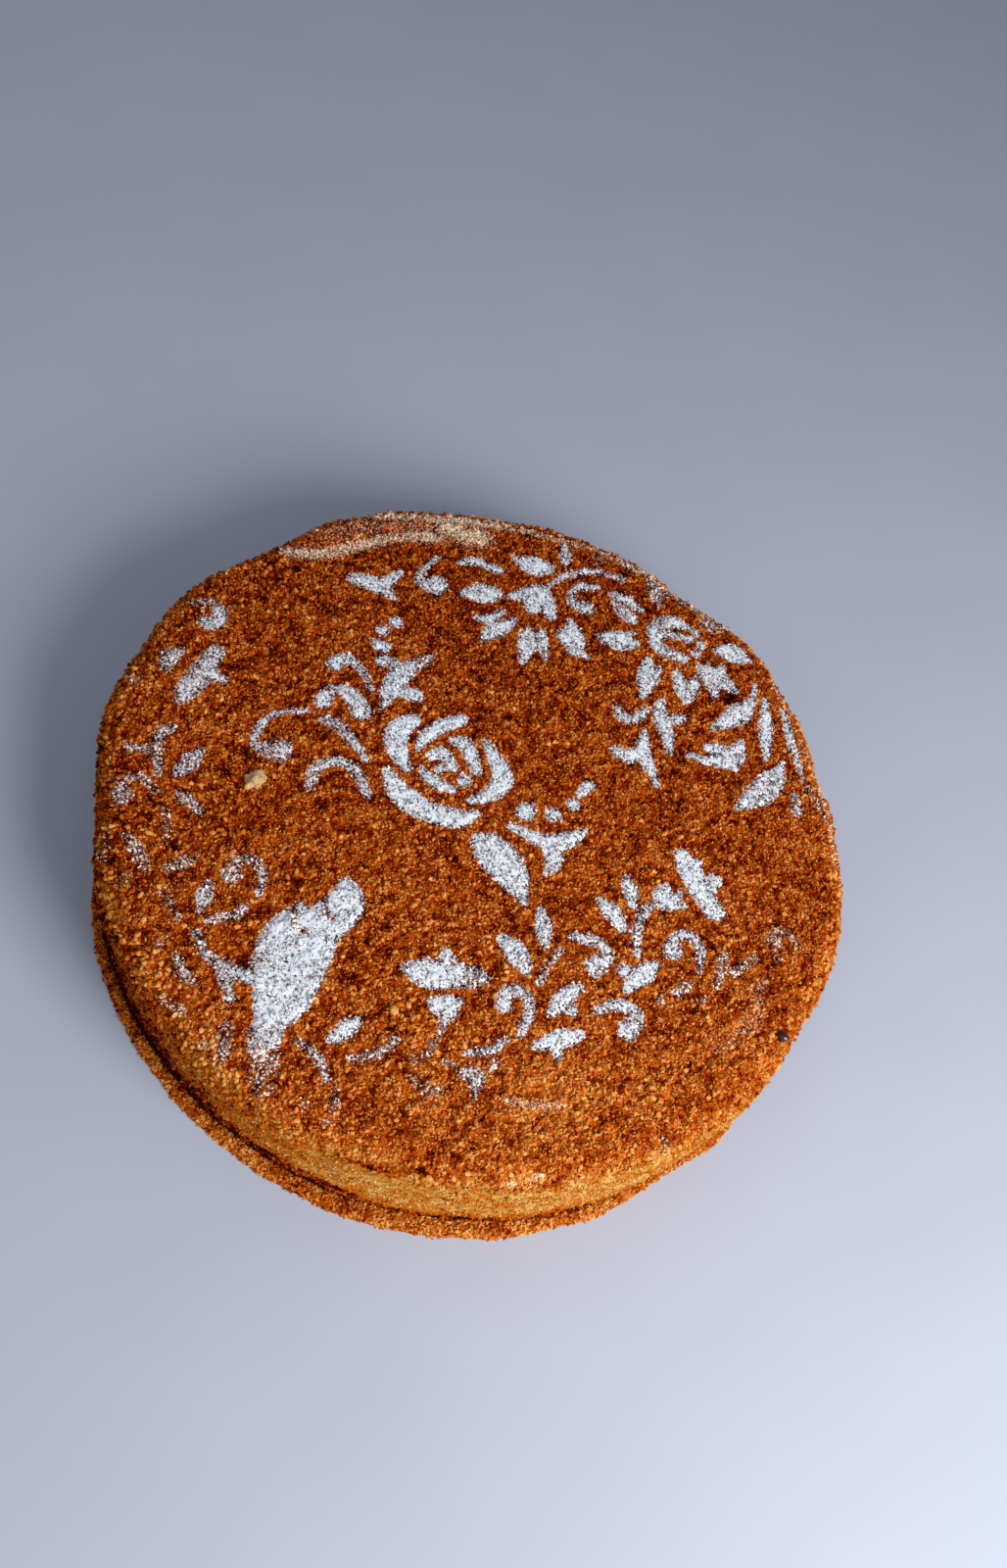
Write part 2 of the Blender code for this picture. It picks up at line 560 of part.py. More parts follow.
def scatter_ring_crumbs(material, home):
    """Single crumbs on the ring, clear of the cake's side and of the ring's outer edge."""
    dice = random.Random(CRUMB_SEED + 2)
    for number in range(RING_CRUMBS):
        angle = 360 * (number + dice.random()) / RING_CRUMBS
        size = dice.uniform(*RING_CRUMB_SIZE)
        inner = cake_radius(angle) + size * RING_CRUMB_ROOM + 2 * RING_GAP
        outer = ring_radius(angle) - size * RING_CRUMB_ROOM
        if outer < inner:
            continue
        place = at(angle, dice.uniform(inner, outer), RING_HEIGHT * RING_INNER_HEIGHT)
        name = f"ring crumb {number}"
        make_crumb(name, place, UP, size, CRUMB_SUNK, CRUMB_ROUGHNESS, dice, material, home)


def new_collection(name):
    made = bpy.data.collections.new(name)
    bpy.context.scene.collection.children.link(made)
    return made


def main():
    for thing in list(bpy.data.objects):
        bpy.data.objects.remove(thing, do_unlink=True)
    scene_objects = bpy.context.scene.collection
    crumb = make_material("honey crumb", (0.38, 0.09, 0.015), 0.85)
    sugar = make_material("icing sugar", (0.72, 0.74, 0.8), 0.9)
    chunk = make_material("pale chunk", (0.62, 0.4, 0.22), 0.75)
    bead = make_material("dark honey bead", (0.03, 0.008, 0.004), 0.15)
    loose = make_material("loose crumb", (0.3, 0.07, 0.015), 0.85)

    cake = make_drum(crumb, scene_objects)
    toppings = new_collection("toppings")
    dice = random.Random(CRUMB_SEED + 3)
    for motif, strokes in PATTERN.items():
        for number, knots in enumerate(strokes):
            thickness = SUGAR_THICK + dice.uniform(-1, 1) * SUGAR_THICK_SPREAD
            make_stroke(f"{motif} {number}", knots, thickness, sugar, toppings)
    scatter_crumbs(crumb, toppings)
    make_landmarks(crumb, chunk, bead, toppings)
    fuse(cake, toppings)

    ring = make_ring(loose, scene_objects)
    ring_toppings = new_collection("ring toppings")
    scatter_ring_crumbs(loose, ring_toppings)
    fuse(ring, ring_toppings)


main()
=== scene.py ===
import json
import math
import random

import bmesh
import bpy
import numpy as np
from mathutils import Euler, Matrix, Vector, geometry, noise

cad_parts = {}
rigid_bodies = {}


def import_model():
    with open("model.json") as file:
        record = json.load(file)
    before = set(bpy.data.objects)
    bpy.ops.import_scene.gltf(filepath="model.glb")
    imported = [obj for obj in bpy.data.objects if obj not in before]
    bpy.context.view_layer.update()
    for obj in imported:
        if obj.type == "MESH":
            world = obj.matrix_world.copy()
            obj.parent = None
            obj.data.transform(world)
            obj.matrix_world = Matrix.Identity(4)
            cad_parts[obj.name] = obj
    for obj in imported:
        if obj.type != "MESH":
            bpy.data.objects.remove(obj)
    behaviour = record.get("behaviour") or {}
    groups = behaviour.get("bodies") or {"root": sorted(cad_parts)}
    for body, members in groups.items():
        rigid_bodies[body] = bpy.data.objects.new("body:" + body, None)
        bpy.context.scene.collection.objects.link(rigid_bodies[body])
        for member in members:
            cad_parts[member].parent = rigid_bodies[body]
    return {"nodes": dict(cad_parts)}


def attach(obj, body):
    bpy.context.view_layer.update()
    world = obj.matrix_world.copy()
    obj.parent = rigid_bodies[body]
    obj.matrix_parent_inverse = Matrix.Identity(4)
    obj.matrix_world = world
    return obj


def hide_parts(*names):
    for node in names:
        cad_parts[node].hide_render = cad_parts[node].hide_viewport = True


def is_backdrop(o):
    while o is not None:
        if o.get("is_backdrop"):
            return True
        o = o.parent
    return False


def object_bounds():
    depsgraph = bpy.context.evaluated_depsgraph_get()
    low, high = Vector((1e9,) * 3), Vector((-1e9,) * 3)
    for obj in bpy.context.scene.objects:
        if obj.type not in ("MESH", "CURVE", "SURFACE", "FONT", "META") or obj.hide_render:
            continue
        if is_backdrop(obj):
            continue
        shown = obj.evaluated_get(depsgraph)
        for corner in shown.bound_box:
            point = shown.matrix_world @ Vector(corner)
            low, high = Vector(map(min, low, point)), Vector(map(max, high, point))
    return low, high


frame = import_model()
CAD_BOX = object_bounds()
MM = 0.001
print("nodes:", sorted(frame["nodes"]), "box:", [tuple(round(v, 4) for v in c) for c in CAD_BOX])

# %% [markdown]
# ## The drum's outline
#
# A home-made cake isn't round. Its outline is a circle with soft bulges and dents, each given by a
# direction, a half width and a height, the same values as in the CAD. One function gives the
# radius in any direction, and everything else on the cake is placed with it. We write these
# functions for whole arrays of angles, because NumPy handles a hundred thousand points at once.
# %% Outline values and functions
CAKE_RADIUS = 134.0 * MM
CAKE_HEIGHT = 47.3 * MM
RIM_ROUND = 12.0 * MM
FOOT_TUCK = 1.2 * MM
FOOT_HEIGHT = 2.2 * MM
CAD_ANGLES = np.arange(88) * 360 / 88
BULGES = (
    (18, 5, -1.2 * MM), (31, 5, -2.8 * MM), (57, 7, 2.8 * MM), (73, 5, -2.6 * MM), (111, 8, -1.6 * MM),
    (127, 4, 1.2 * MM), (138, 4, 1.5 * MM), (150, 5, -1.6 * MM), (168, 10, 2.6 * MM),
    (190, 8, 2.2 * MM), (206, 8, -1.6 * MM), (345, 8, -2.0 * MM),
)
RING_GAP = 0.3 * MM
RING_WIDTH = 4.6 * MM
RING_WIDTHS = ((204, 16, -1.8 * MM), (283, 26, 1.6 * MM), (321, 6, -2.6 * MM))
RING_RUFFLE = 0.7 * MM
RING_RUFFLES = 9


def planar(angle, radius):
    """Directions in degrees and distances as x and y."""
    turn = np.radians(angle)
    return radius * np.cos(turn), radius * np.sin(turn)


def bulged(angle, bulges):
    """The sum of some bulges in a direction, each falling smoothly to nothing beside its middle."""
    total = np.zeros_like(np.asarray(angle, float))
    for middle, half_width, amount in bulges:
        away = np.abs((angle - middle + 180) % 360 - 180)
        total = total + amount * np.exp(-((away / half_width) ** 2))
    return total


def rough(points, length):
    """Smooth noise from -1 to 1 at each point, with bumps about one length across."""
    scaled = (np.asarray(points) / length).tolist()
    return np.array([noise.noise(place) for place in scaled])


def cake_radius(angle):
    return CAKE_RADIUS + bulged(angle, BULGES)


def ring_radius(angle):
    x, y = planar(angle, RING_RUFFLES * 1.0)
    ruffle = RING_RUFFLE * rough(np.stack([x, y, x * 0], -1), 1.0)
    return cake_radius(angle) + RING_WIDTH + bulged(angle, RING_WIDTHS) + ruffle


edge_x, edge_y = planar(CAD_ANGLES, ring_radius(CAD_ANGLES))
CENTRE = np.array([-(edge_x.min() + edge_x.max()) / 2, -(edge_y.min() + edge_y.max()) / 2, 0])
print("centre of the drum, mm:", np.round(CENTRE / MM, 2))

# %% [markdown]
# ## Camera and light
#
# The cake is seen from close by and from above, by a wide lens that is turned a little clockwise,
# so the cake leans in the picture. The camera's axes are written down as three directions, which
# is the plainest way to place a camera that is rolled. The light is one big soft window on the
# right and a dim sky all round, so each crumb has a bright side, a dark side and a short shadow.
# %% Camera
FOCAL_PIXELS = 1250
FRAME_HEIGHT = 1600
SENSOR = 36.0
EYE = (0.0, -0.22545, 0.41102)
RIGHT = Vector((0.92013, 0.32795, 0.21401))
UPWARD = Vector((-0.39157, 0.77734, 0.49235))
camera_data = bpy.data.cameras.new("camera")
camera_data.sensor_width = SENSOR
camera_data.lens = FOCAL_PIXELS / FRAME_HEIGHT * SENSOR
camera_data.clip_start = 0.01
camera = bpy.data.objects.new("camera", camera_data)
bpy.context.scene.collection.objects.link(camera)
backward = RIGHT.cross(UPWARD)
camera.matrix_world = Matrix.Translation(Vector(EYE) + Vector(CENTRE)) @ Matrix(
    (
        (RIGHT.x, UPWARD.x, backward.x, 0),
        (RIGHT.y, UPWARD.y, backward.y, 0),
        (RIGHT.z, UPWARD.z, backward.z, 0),
        (0, 0, 0, 1),
    )
)
bpy.context.scene.camera = camera
print("lens:", round(camera_data.lens, 3), "mm")

# %% Lights


def soft_light(name, place, target, size, power, colour):
    data = bpy.data.lights.new(name, "AREA")
    data.shape = "DISK"
    data.size = size
    data.energy = power
    data.color = colour
    lamp = bpy.data.objects.new(name, data)
    bpy.context.scene.collection.objects.link(lamp)
    lamp.location = place
    lamp.rotation_mode = "QUATERNION"
    lamp.rotation_quaternion = (Vector(target) - Vector(place)).to_track_quat("-Z", "Y")
    return lamp


soft_light("window", (0.60, -0.385, 0.50), (0, 0, 0.02), 0.46, 9.6, (1.0, 0.985, 0.97))
soft_light("room", (-0.3, -1.1, 1.0), (0, 0, 0), 1.0, 3.0, (0.95, 0.97, 1.0))
world = bpy.data.worlds.new("room")
bpy.context.scene.world = world
world.use_nodes = True
world.node_tree.nodes["Background"].inputs["Color"].default_value = (0.74, 0.79, 0.9, 1)
world.node_tree.nodes["Background"].inputs["Strength"].default_value = 0.4
bpy.context.scene.view_settings.view_transform = "Standard"

# %% [markdown]
# ## A short way to write node trees
#
# Every material below is a tree of nodes. Writing one node takes several lines, so a helper does
# it in one: it makes the node, sets its options, and fills each input either with a value or with
# a wire from another node.
# %% Node helper


def wire(tree, kind, inputs=None, **options):
    """A new node. An input is a number, a colour or the output of another node."""
    made = tree.nodes.new(kind)
    for name, value in options.items():
        setattr(made, name, value)
    for key, value in (inputs or {}).items():
        if isinstance(value, bpy.types.NodeSocket):
            tree.links.new(value, made.inputs[key])
        else:
            made.inputs[key].default_value = value
    return made


def attribute(tree, name):
    return wire(tree, "ShaderNodeAttribute", attribute_name=name).outputs["Fac"]


def calculate(tree, operation, first, second=0.0, clamp=False):
    made = wire(tree, "ShaderNodeMath", {0: first, 1: second}, operation=operation)
    made.use_clamp = clamp
    return made.outputs[0]


def plus(tree, total, value, share):
    """A total with a share of a value added to it."""
    return calculate(tree, "ADD", total, calculate(tree, "MULTIPLY", value, share))


def eased(tree, value, low, high):
    """0 below low and 1 above high, with a smooth step between."""
    made = wire(
        tree,
        "ShaderNodeMapRange",
        {"Value": value, "From Min": low, "From Max": high},
        interpolation_type="SMOOTHSTEP",
    )
    return made.outputs["Result"]


def mixed(tree, share, first, second):
    """A colour between two colours."""
    made = wire(tree, "ShaderNodeMix", {0: share, 6: first, 7: second}, data_type="RGBA")
    return made.outputs[2]


def speckle(tree, size, detail=2.0, roughness=0.5):
    """Noise from 0 to 1 on the object's own coordinates, with spots about one size across."""
    place = wire(tree, "ShaderNodeTexCoord").outputs["Object"]
    inputs = {"Vector": place, "Scale": 1 / size, "Detail": detail, "Roughness": roughness}
    return wire(tree, "ShaderNodeTexNoise", inputs).outputs["Fac"]


def new_material(name):
    made = bpy.data.materials.new(name)
    made.use_nodes = True
    return made, made.node_tree, made.node_tree.nodes["Principled BSDF"]


# %% [markdown]
# ## The pattern
#
# The sugar's pattern is a common floral one: a rose, leaves, bell flowers, curls and a bird. Each
# motif is a few brush strokes, and a stroke is a list of knots with x, y and width in millimetres.
# A texture picture could hold it, but strokes are exact at any size, and they are the same strokes
# that stand on the cake in the CAD. The second list holds strokes where so little sugar came
# through that they are only a stain on the crumbs, each with how well it covers, from 0 to 1.
# %% Strokes of the pattern
PATTERN = {
    "rose": (
        ((-36.5, 15.5, 6), (-39.5, 9, 8.5), (-37.5, 2.5, 8), (-30.5, -4, 3)),
        ((-20.5, 24, 5), (-26, 18.5, 6), (-29.7, 11.5, 5), (-30.5, 5, 2)),
        ((-36.5, -8.5, 4), (-29, -14, 8.5), (-19.5, -16, 8.5), (-8.5, -14.5, 7.5), (-2, -9.5, 2.5)),
        ((-10, 19.5, 2.5), (-4.5, 14.5, 5.5), (1, 8, 8), (-0.5, 0, 6), (-6, -5.5, 3)),
        ((-20.5, 14.5, 3), (-15, 14.5, 6), (-8.5, 6.5, 4)),
        ((-27, -1, 2), (-21, -4.5, 5), (-13.5, -4.5, 3)),
        ((-25.5, 4.5, 3), (-22.5, 8, 5), (-16.5, 4, 3.5)), ((-20.5, 1.2, 4),), ((-10.8, 0.8, 5.5),),
    ),
    "berries": (
        ((13, -1.2, 7.5),), ((22.3, 2, 6),), ((27.5, 9, 5),), ((28.5, 14.5, 3.5), (30.3, 19, 5)),
        ((-58.3, 53, 5.5),), ((-61.2, 47, 4.8),), ((-60.3, 40.4, 5.2), (-57.8, 40.4, 5.2)),
        ((49, 106, 4),), ((52.7, 101.2, 4),), ((52, 96.2, 4),),
    ),
    "leaves": (
        ((2.5, -19, 7), (9.5, -22, 14), (17, -26.5, 11), (23.8, -34, 3)), ((6, -15.5, 4),),
        ((30, -34.5, 3.5), (32.8, -40, 6), (35.5, -47, 2)),
        ((21, -49.5, 3), (27.5, -52.5, 8), (32.5, -57, 3.5)),
        ((50.5, -54.5, 3), (46.8, -60.5, 6.5), (44.5, -67, 3)), ((48, -63, 3), (51, -63.8, 4)),
        ((54, -9.7, 3), (56.5, -14, 6), (59, -19, 2.5)),
        ((47, -21.7, 2.5), (53, -24.5, 6.5), (58, -28.5, 3.5)),
        ((-48, 91.5, 2), (-41, 96, 4.5), (-31.5, 95.7, 3)),
        ((-28.5, 105.5, 2.5), (-20.8, 105.2, 9.5), (-14.5, 107.5, 5)),
        ((-40.5, 78.8, 3), (-34, 81.8, 9.5), (-29.5, 84.5, 6)),
        ((59.5, 102, 4), (65.5, 104, 9.5), (74, 104.3, 2)),
        ((82.7, 89, 2), (86.5, 75, 6), (89.5, 61.5, 2)),
        ((90.8, 87.5, 2), (97, 74.5, 3.5), (105, 61, 2)),
        ((96, 62.5, 2), (94, 53, 9.5), (90.5, 45.5, 10), (84, 35.5, 2)),
        ((103.7, 51, 3.5), (105.8, 45, 4.5)), ((-10.5, -93.5, 2), (-13.2, -98.5, 6), (-16.5, -104, 2)),
    ),
    "three-lobed leaves": (
        ((9.5, -9, 3), (18, -9.5, 4.5), (25.5, -9, 8)),
        ((26.5, -8.5, 7), (31.5, -3.5, 6), (35, 1.3, 2)),
        ((26, -11, 7.5), (28.5, -15.5, 6), (27.3, -20.8, 2)), ((43, 52, 2), (45, 43, 6), (54, 31, 2)),
        ((45, 43, 5), (40, 38, 6), (34, 38, 3)),
        ((-48, 15.5, 2), (-48.5, 25, 7.5), (-47, 33.5, 7.5), (-41.5, 43.5, 4)),
        ((-46, 24.5, 5), (-39.5, 26, 6)), ((-51, 33, 3), (-52.5, 37, 2), (-56, 34, 5)),
        ((-80.5, 64, 5), (-73, 65.5, 7), (-62.8, 63, 2.5)), ((-69, 66, 7), (-65.5, 76, 2.5)),
    ),
    "bell flowers": (
        ((-12, 98, 2), (-17, 92, 7), (-23.5, 86, 3)), ((-12, 96, 4), (-14, 89, 9), (-13.7, 83, 3)),
        ((-11, 94, 4), (-8, 88, 7), (-6, 84.5, 3)),
        ((-32.5, 70, 2), (-27.5, 71.5, 5), (-23.5, 78.5, 2)),
        ((-18.7, 76.5, 2.5), (-20.8, 71, 6), (-24, 67, 7), (-26, 61, 2)),
        ((-12, 74, 4), (-10.5, 68.5, 8), (-9.3, 58.5, 2.5)),
        ((-7, 77, 2.5), (-5.2, 71, 5), (-1.5, 64.5, 2)), ((1.8, 86.5, 3.5), (5, 80.5, 8), (7.3, 75, 8)),
        ((-1.2, 80, 2), (3, 77, 6), (12.5, 73.7, 2)),
        ((12.5, 107.7, 3), (19, 107.7, 5.5), (26, 106, 2.5)),
        ((14.5, 104, 2.5), (20.3, 100.8, 6.5), (24.5, 99.3, 3.5)),
        ((13.5, 85.3, 2), (21, 86.5, 9), (29, 89, 3)), ((22, 90, 4), (26, 93.5, 2)),
        ((45.5, 107.5, 3), (37.5, 106.5, 6), (33.7, 99, 7), (38, 91.5, 6), (48, 91.5, 4)),
        ((36, 99.5, 5), (48, 101.7, 3)), ((35, 84, 3), (36.7, 76.5, 8.5), (37.8, 66, 2)),
        ((40.2, 81.5, 3), (39, 75, 5)), ((54.5, 91, 2.5), (60, 87.5, 8.5), (63.7, 80.5, 3)),
        ((62.5, 95, 2.5), (64, 90, 7), (71, 86.5, 3)), ((57.7, 94.7, 2), (60, 90, 5)),
        ((46.5, 84, 2.5), (50.5, 78, 6.5), (53.7, 71.5, 2)),
        ((54.5, 84.5, 2.5), (54.7, 78.5, 6), (53.7, 73, 4)),
        ((45, 67.5, 3.5), (46.5, 61, 6.5), (51.5, 54, 5.5), (54, 47, 2.5)),
        ((49, 60, 4.5), (54.2, 64, 4.5)),
        ((77.7, 93.5, 2), (78, 85, 3.5), (74.5, 76.5, 9), (66.7, 65, 2.5)),
        ((61.5, 49.7, 3), (70, 51, 5), (77, 56, 9), (78.7, 64.5, 3)), ((67, 56.5, 4), (73, 58, 5)),
        ((80.7, 58, 3.5), (79.6, 51.5, 2)),
    ),
    "buds": (
        ((70.3, 7.2, 6.5), (75, 2.2, 9), (81, -4.5, 7.5), (86.5, -8.3, 7.5)),
        ((83.5, 3.2, 5.5), (82.5, -3, 4)), ((75.7, 6.7, 4.5),),
        ((68.5, -6, 2.5), (67.8, -10.8, 7.5), (71, -13, 4), (76, -11, 2)),
        ((73.3, -6.5, 2), (72, -11, 4)),
        ((-3.5, -72, 4), (3, -71.2, 10), (10, -68.5, 9), (18.7, -65.5, 7.5)),
        ((6, -61.5, 3), (8.5, -66.5, 7)), ((7, -79, 2), (12, -79, 7.5), (16, -75.5, 3)),
        ((13.5, -80, 6.5), (14, -86, 2), (13, -95, 2)),
        ((55.7, -70.3, 3.5), (50.5, -73.8, 6.5), (43, -79.5, 2.5)), ((49, -76, 5), (51.7, -80.7, 2)),
        ((72.5, -36, 3), (68.8, -42, 7.5), (65.3, -49, 3)), ((63, -43, 5),), ((112, -16, 3),),
    ),
    "stems": (
        ((14.5, 117.5, 2.5), (3, 115.3, 3), (-6, 108.5, 3), (-11.7, 99, 2)),
        ((65.5, -15, 3), (62.8, -21.5, 3.5), (63, -28.5, 3.5), (65.5, -35.5, 3)),
        ((40.5, -45.5, 3), (38.5, -52, 3), (37.8, -59, 3)),
        ((34, -81.3, 2), (31, -86, 3.5), (23.5, -90.5, 2)), ((93.5, -23, 3), (94, -34, 3.5)),
        ((98.3, -27.3, 4.5), (104.7, -19.3, 2.5)),
        ((-65, 1, 3), (-59.5, 1.2, 4.5), (-52, -2.3, 4), (-45, -7, 2.5)),
    ),
    "curls": (
        ((5.2, 96, 7), (-1.5, 96, 3.5), (-1.5, 103.5, 3), (5.5, 107.2, 3.5)),
        ((-51, 77, 9), (-57.8, 75, 3.5), (-58.5, 82, 3), (-55.3, 89.5, 2)),
        ((-70.5, 25, 6.5), (-67.5, 29.5, 4.5), (-60.5, 26.5, 3.5), (-54.3, 20.3, 2)),
        ((-68, 8.3, 6.5), (-67, 14, 4), (-61.5, 15.5, 6), (-54, 10.7, 8)),
        ((-73, -17, 9), (-80.5, -19, 3.5), (-83, -11, 3), (-79, -2.8, 2.5), (-71, 2, 2)),
        ((-57.8, -25.5, 4), (-59, -18, 4.5), (-54.5, -12.7, 4), (-47, -12.5, 4), (-39, -20, 3)),
        ((40.5, 61.3, 2.5), (38.3, 56, 4.5), (33.3, 53.7, 5), (30.2, 57, 3.5)),
        ((76.5, -29.2, 7), (75.8, -24, 4), (81, -21, 4), (85.7, -25.5, 4), (87, -32, 2.5)),
        ((53.3, -45.7, 7.5), (56.3, -40, 4), (51.3, -37, 4), (43.5, -39, 3.5)),
        ((70, -61.7, 7.5), (72, -56.3, 4), (66, -54.3, 4.5), (58.3, -59.7, 3)),
        ((29.5, -70.5, 6), (28.8, -66, 4), (33.5, -64.2, 4), (37.8, -69, 4), (37.7, -78, 2.5)),
        ((-67, -65.7, 6.5), (-67.3, -60.5, 3.5), (-62, -58.7, 4), (-57.7, -62.5, 3.5), (-56.3, -69, 2)),
        ((-110, -55.7, 6), (-113.8, -51.5, 3), (-109, -47.2, 3.5), (-101.7, -49.3, 2.5)),
        ((109.3, -10.7, 6.5), (109, -6.5, 3), (113.5, -4.8, 3), (118, -8, 2)),
    ),
    "bird": (
        ((-31.5, -54.5, 7), (-30, -61, 13), (-34, -71.5, 15), (-37.5, -83.5, 23),
         (-35.3, -96, 18), (-35, -105, 10), (-32.3, -114, 7.5), (-27.5, -124, 4)),
        ((-42.5, -68.5, 6), (-46, -79, 7.5), (-46, -91, 5)),
        ((-68, -88.5, 2.5), (-62, -93.7, 3.5), (-54, -95.3, 4), (-46, -95, 5)),
        ((-54.5, -97, 5), (-49, -104, 3)),
    ),
    "outer leaves": (
        ((-121.5, 28.3, 2.5), (-116, 26.5, 5), (-115, 21.5, 6), (-118.3, 19.3, 6)),
        ((-109.7, 9.7, 6), (-110, 2, 8), (-110.5, -7, 9), (-111.3, -13.5, 5)),
        ((-107, 0.3, 6), (-102.3, 0, 3.5)),
        ((-120.3, 5.5, 2.5), (-122.5, -1.2, 6.5), (-120.5, -5.5, 2.5)),
        ((-108.5, -25, 3), (-110.7, -31, 4.5), (-104.3, -43.5, 2.5)),
        ((-117, -38.7, 3.5), (-110.5, -36, 3.5)),
        ((-96, -28.7, 2.5), (-97.3, -35, 7), (-98.7, -39.7, 4)),
        ((-79.5, -65.3, 2), (-82.5, -69, 5), (-86.5, -73, 2)),
        ((-102, -68, 3), (-96, -72, 5), (-92, -75, 3)),
        ((-71.5, -71.7, 2.5), (-71.2, -77, 5.5), (-70, -81.5, 2)),
    ),
}
# Strokes that are worn to a stain: how well the sugar covers there, then the stroke's knots
STAINS = (
    (0.7, ((84.7, -38.7, 3), (82, -43.3, 4))), (0.6, ((77.3, -47.3, 3.5),)), (0.5, ((90, -41, 4),)),
    (0.5, ((107, -29, 2), (112, -26.5, 2.5))), (0.6, ((12.7, -94, 2.5), (10, -99, 2.5))),
    (0.65, ((33.5, -90.7, 4),)), (0.75, ((26.5, -96, 5.5), (29.3, -96.3, 6), (31, -101.7, 2.5))),
    (0.6, ((18, -95.5, 2), (24, -96.5, 2.5))),
    (0.7, ((2, -95.7, 3.5), (-1.3, -101.5, 3.5), (-8.5, -106.5, 2.5))),
    (0.75, ((-25, -107.7, 2.5), (-18, -109.7, 3.3), (-12, -114.7, 2.5))),
    (0.55, ((11.5, -104, 3.5), (16, -106, 4.5), (20.5, -105, 2.5))),
    (0.6, ((-8, -118, 3.5), (-6.7, -122, 2.5))), (0.55, ((-15, -124, 3.5),)),
    (0.55, ((-6.5, -126, 3),)),
    (0.9, ((-37.5, -105, 4), (-35.5, -110, 8), (-32.8, -115, 9.5), (-30.8, -119.5, 8.5), (-29.4, -123, 7.5))),
    (0.75, ((-58, -74.5, 2.5), (-60, -78.5, 3.5), (-66.5, -83.7, 2.5))),
    (0.7, ((-69.5, -98, 3), (-66.3, -101.7, 4.5), (-61.3, -103, 3))),
    (0.5, ((-75.5, -92.5, 2), (-76, -98, 2))), (0.6, ((-83, -80.5, 3), (-75, -86.5, 2.5))),
    (0.65, ((-96.3, -53.7, 2.5), (-93.5, -58.5, 3), (-90.7, -63.5, 2))),
    (0.7, ((-94.5, -47, 4.5), (-90, -48.7, 4), (-85, -50, 2.5))),
    (0.55, ((-109, -68, 2), (-106, -76, 3))), (0.50, ((-96, -82, 5),)),
    (0.7, ((-46.5, -112, 3.5), (-43.5, -119.5, 4.5))), (0.5, ((-49.5, -118.5, 3),)),
    (0.6, ((-66.5, -111, 2.5), (-60.5, -112.5, 2.5))),
    (0.75, ((-13.3, 121.3, 2.5), (-10.5, 117.3, 6.5), (-9, 111.7, 2))),
    (0.65, ((24.5, 122.5, 3), (28.7, 117.7, 7.5), (31.5, 110.7, 2))), (0.6, ((33, 119.5, 4),)),
    (0.5, ((0.7, 119.5, 2), (2.5, 124, 5))), (0.45, ((10, 125.5, 3), (20, 126, 3))),
    (0.65, ((51, 113, 4), (60, 115.5, 5))), (0.65, ((55, 111, 4),)),
    (0.55, ((38, 119, 4), (43, 119, 4), (48, 117, 3))),
    (0.6, ((106, 59, 2.5), (112, 53, 3.5), (118.5, 47.3, 3))),
    (0.55, ((-127, 25.5, 4), (-121, 26.5, 4))), (0.55, ((-128, -13, 4),)), (0.50, ((92, -91, 4),)),
)
# Places where sugar blew over the stencil's edge or was brushed off: strength, half width, points
DRIFTS = (
    (0.56, 4.0, ((-107, 64), (-98, 67.5), (-92.5, 71.5), (-87, 78), (-80, 85),
     (-74, 91), (-66, 96), (-59, 99))),
    (0.43, 10.0, ((-100, 80), (-90, 88), (-76, 97), (-64, 104))), (0.62, 3.0, ((-56, 112), (-40, 118))),
    (0.54, 4.0, ((-84, 99), (-67, 106.5), (-56.5, 112), (-47, 116), (-36, 120))),
    (0.58, 6.5, ((-58, 106), (-50, 106), (-44, 108))),
    (0.52, 3.0, ((-36, 120), (0, 127), (24, 125), (52, 117))),
    (0.46, 2.4, ((85, 98), (97, 81), (111, 63), (120, 45), (125, 30))),
    (0.52, 2.0, ((40, -99), (47, -98), (57, -94))), (0.42, 5.0, ((100, -56), (110, -40), (108, -28))),
)
# How well the sugar covers in each motif
MOTIF_COVER = {
    "rose": 1.0, "berries": 1.0, "leaves": 0.95, "three-lobed leaves": 0.95, "bell flowers": 0.92,
    "buds": 0.97, "stems": 0.85, "curls": 0.88, "bird": 1.0, "outer leaves": 0.82,
}
# Places where the sugar is worn: x, y, radius in mm, and the share of its cover that is left
WORN_SPOTS = (
    (-63, -62, 10, 0.75), (-108, -51, 10, 0.75), (112, -9, 10, 0.6), (97, -28, 12, 0.7),
    (-118, -2, 8, 0.9), (-111, -35, 11, 0.85), (-84, -70, 8, 0.75), (-97, -72, 9, 0.75),
    (-29, -121, 9, 0.68), (-62, -92, 8, 0.75), (-52, -102, 6, 0.75), (-46, -89, 4, 0.8),
    (-42, 41, 6, 0.75), (18, -66, 5, 0.72), (38, 101, 6, 0.85), (19, 104, 5, 0.8), (-76, -18, 8, 0.85),
    (-57, -25, 6, 0.75), (38, -52, 7, 0.75), (90, 48, 7, 0.85), (104, 48, 6, 0.75), (14, -90, 6, 0.75),
    (-33, -116, 7, 0.85), (-29, -124, 6, 0.85), (-36.2, -62.4, 0.9, 0.0), (-33.8, -65.6, 0.9, 0.1),
    (-31.9, -66.6, 0.8, 0.2), (-44.6, -67.5, 0.9, 0.2), (-43.7, -69.8, 0.9, 0.1),
    (-42.3, -72.3, 0.9, 0.0), (-40.2, -74.2, 0.9, 0.1), (-38.2, -74.0, 0.8, 0.2),
)
print(sum(len(strokes) for strokes in PATTERN.values()), "strokes,", len(STAINS), "stains")

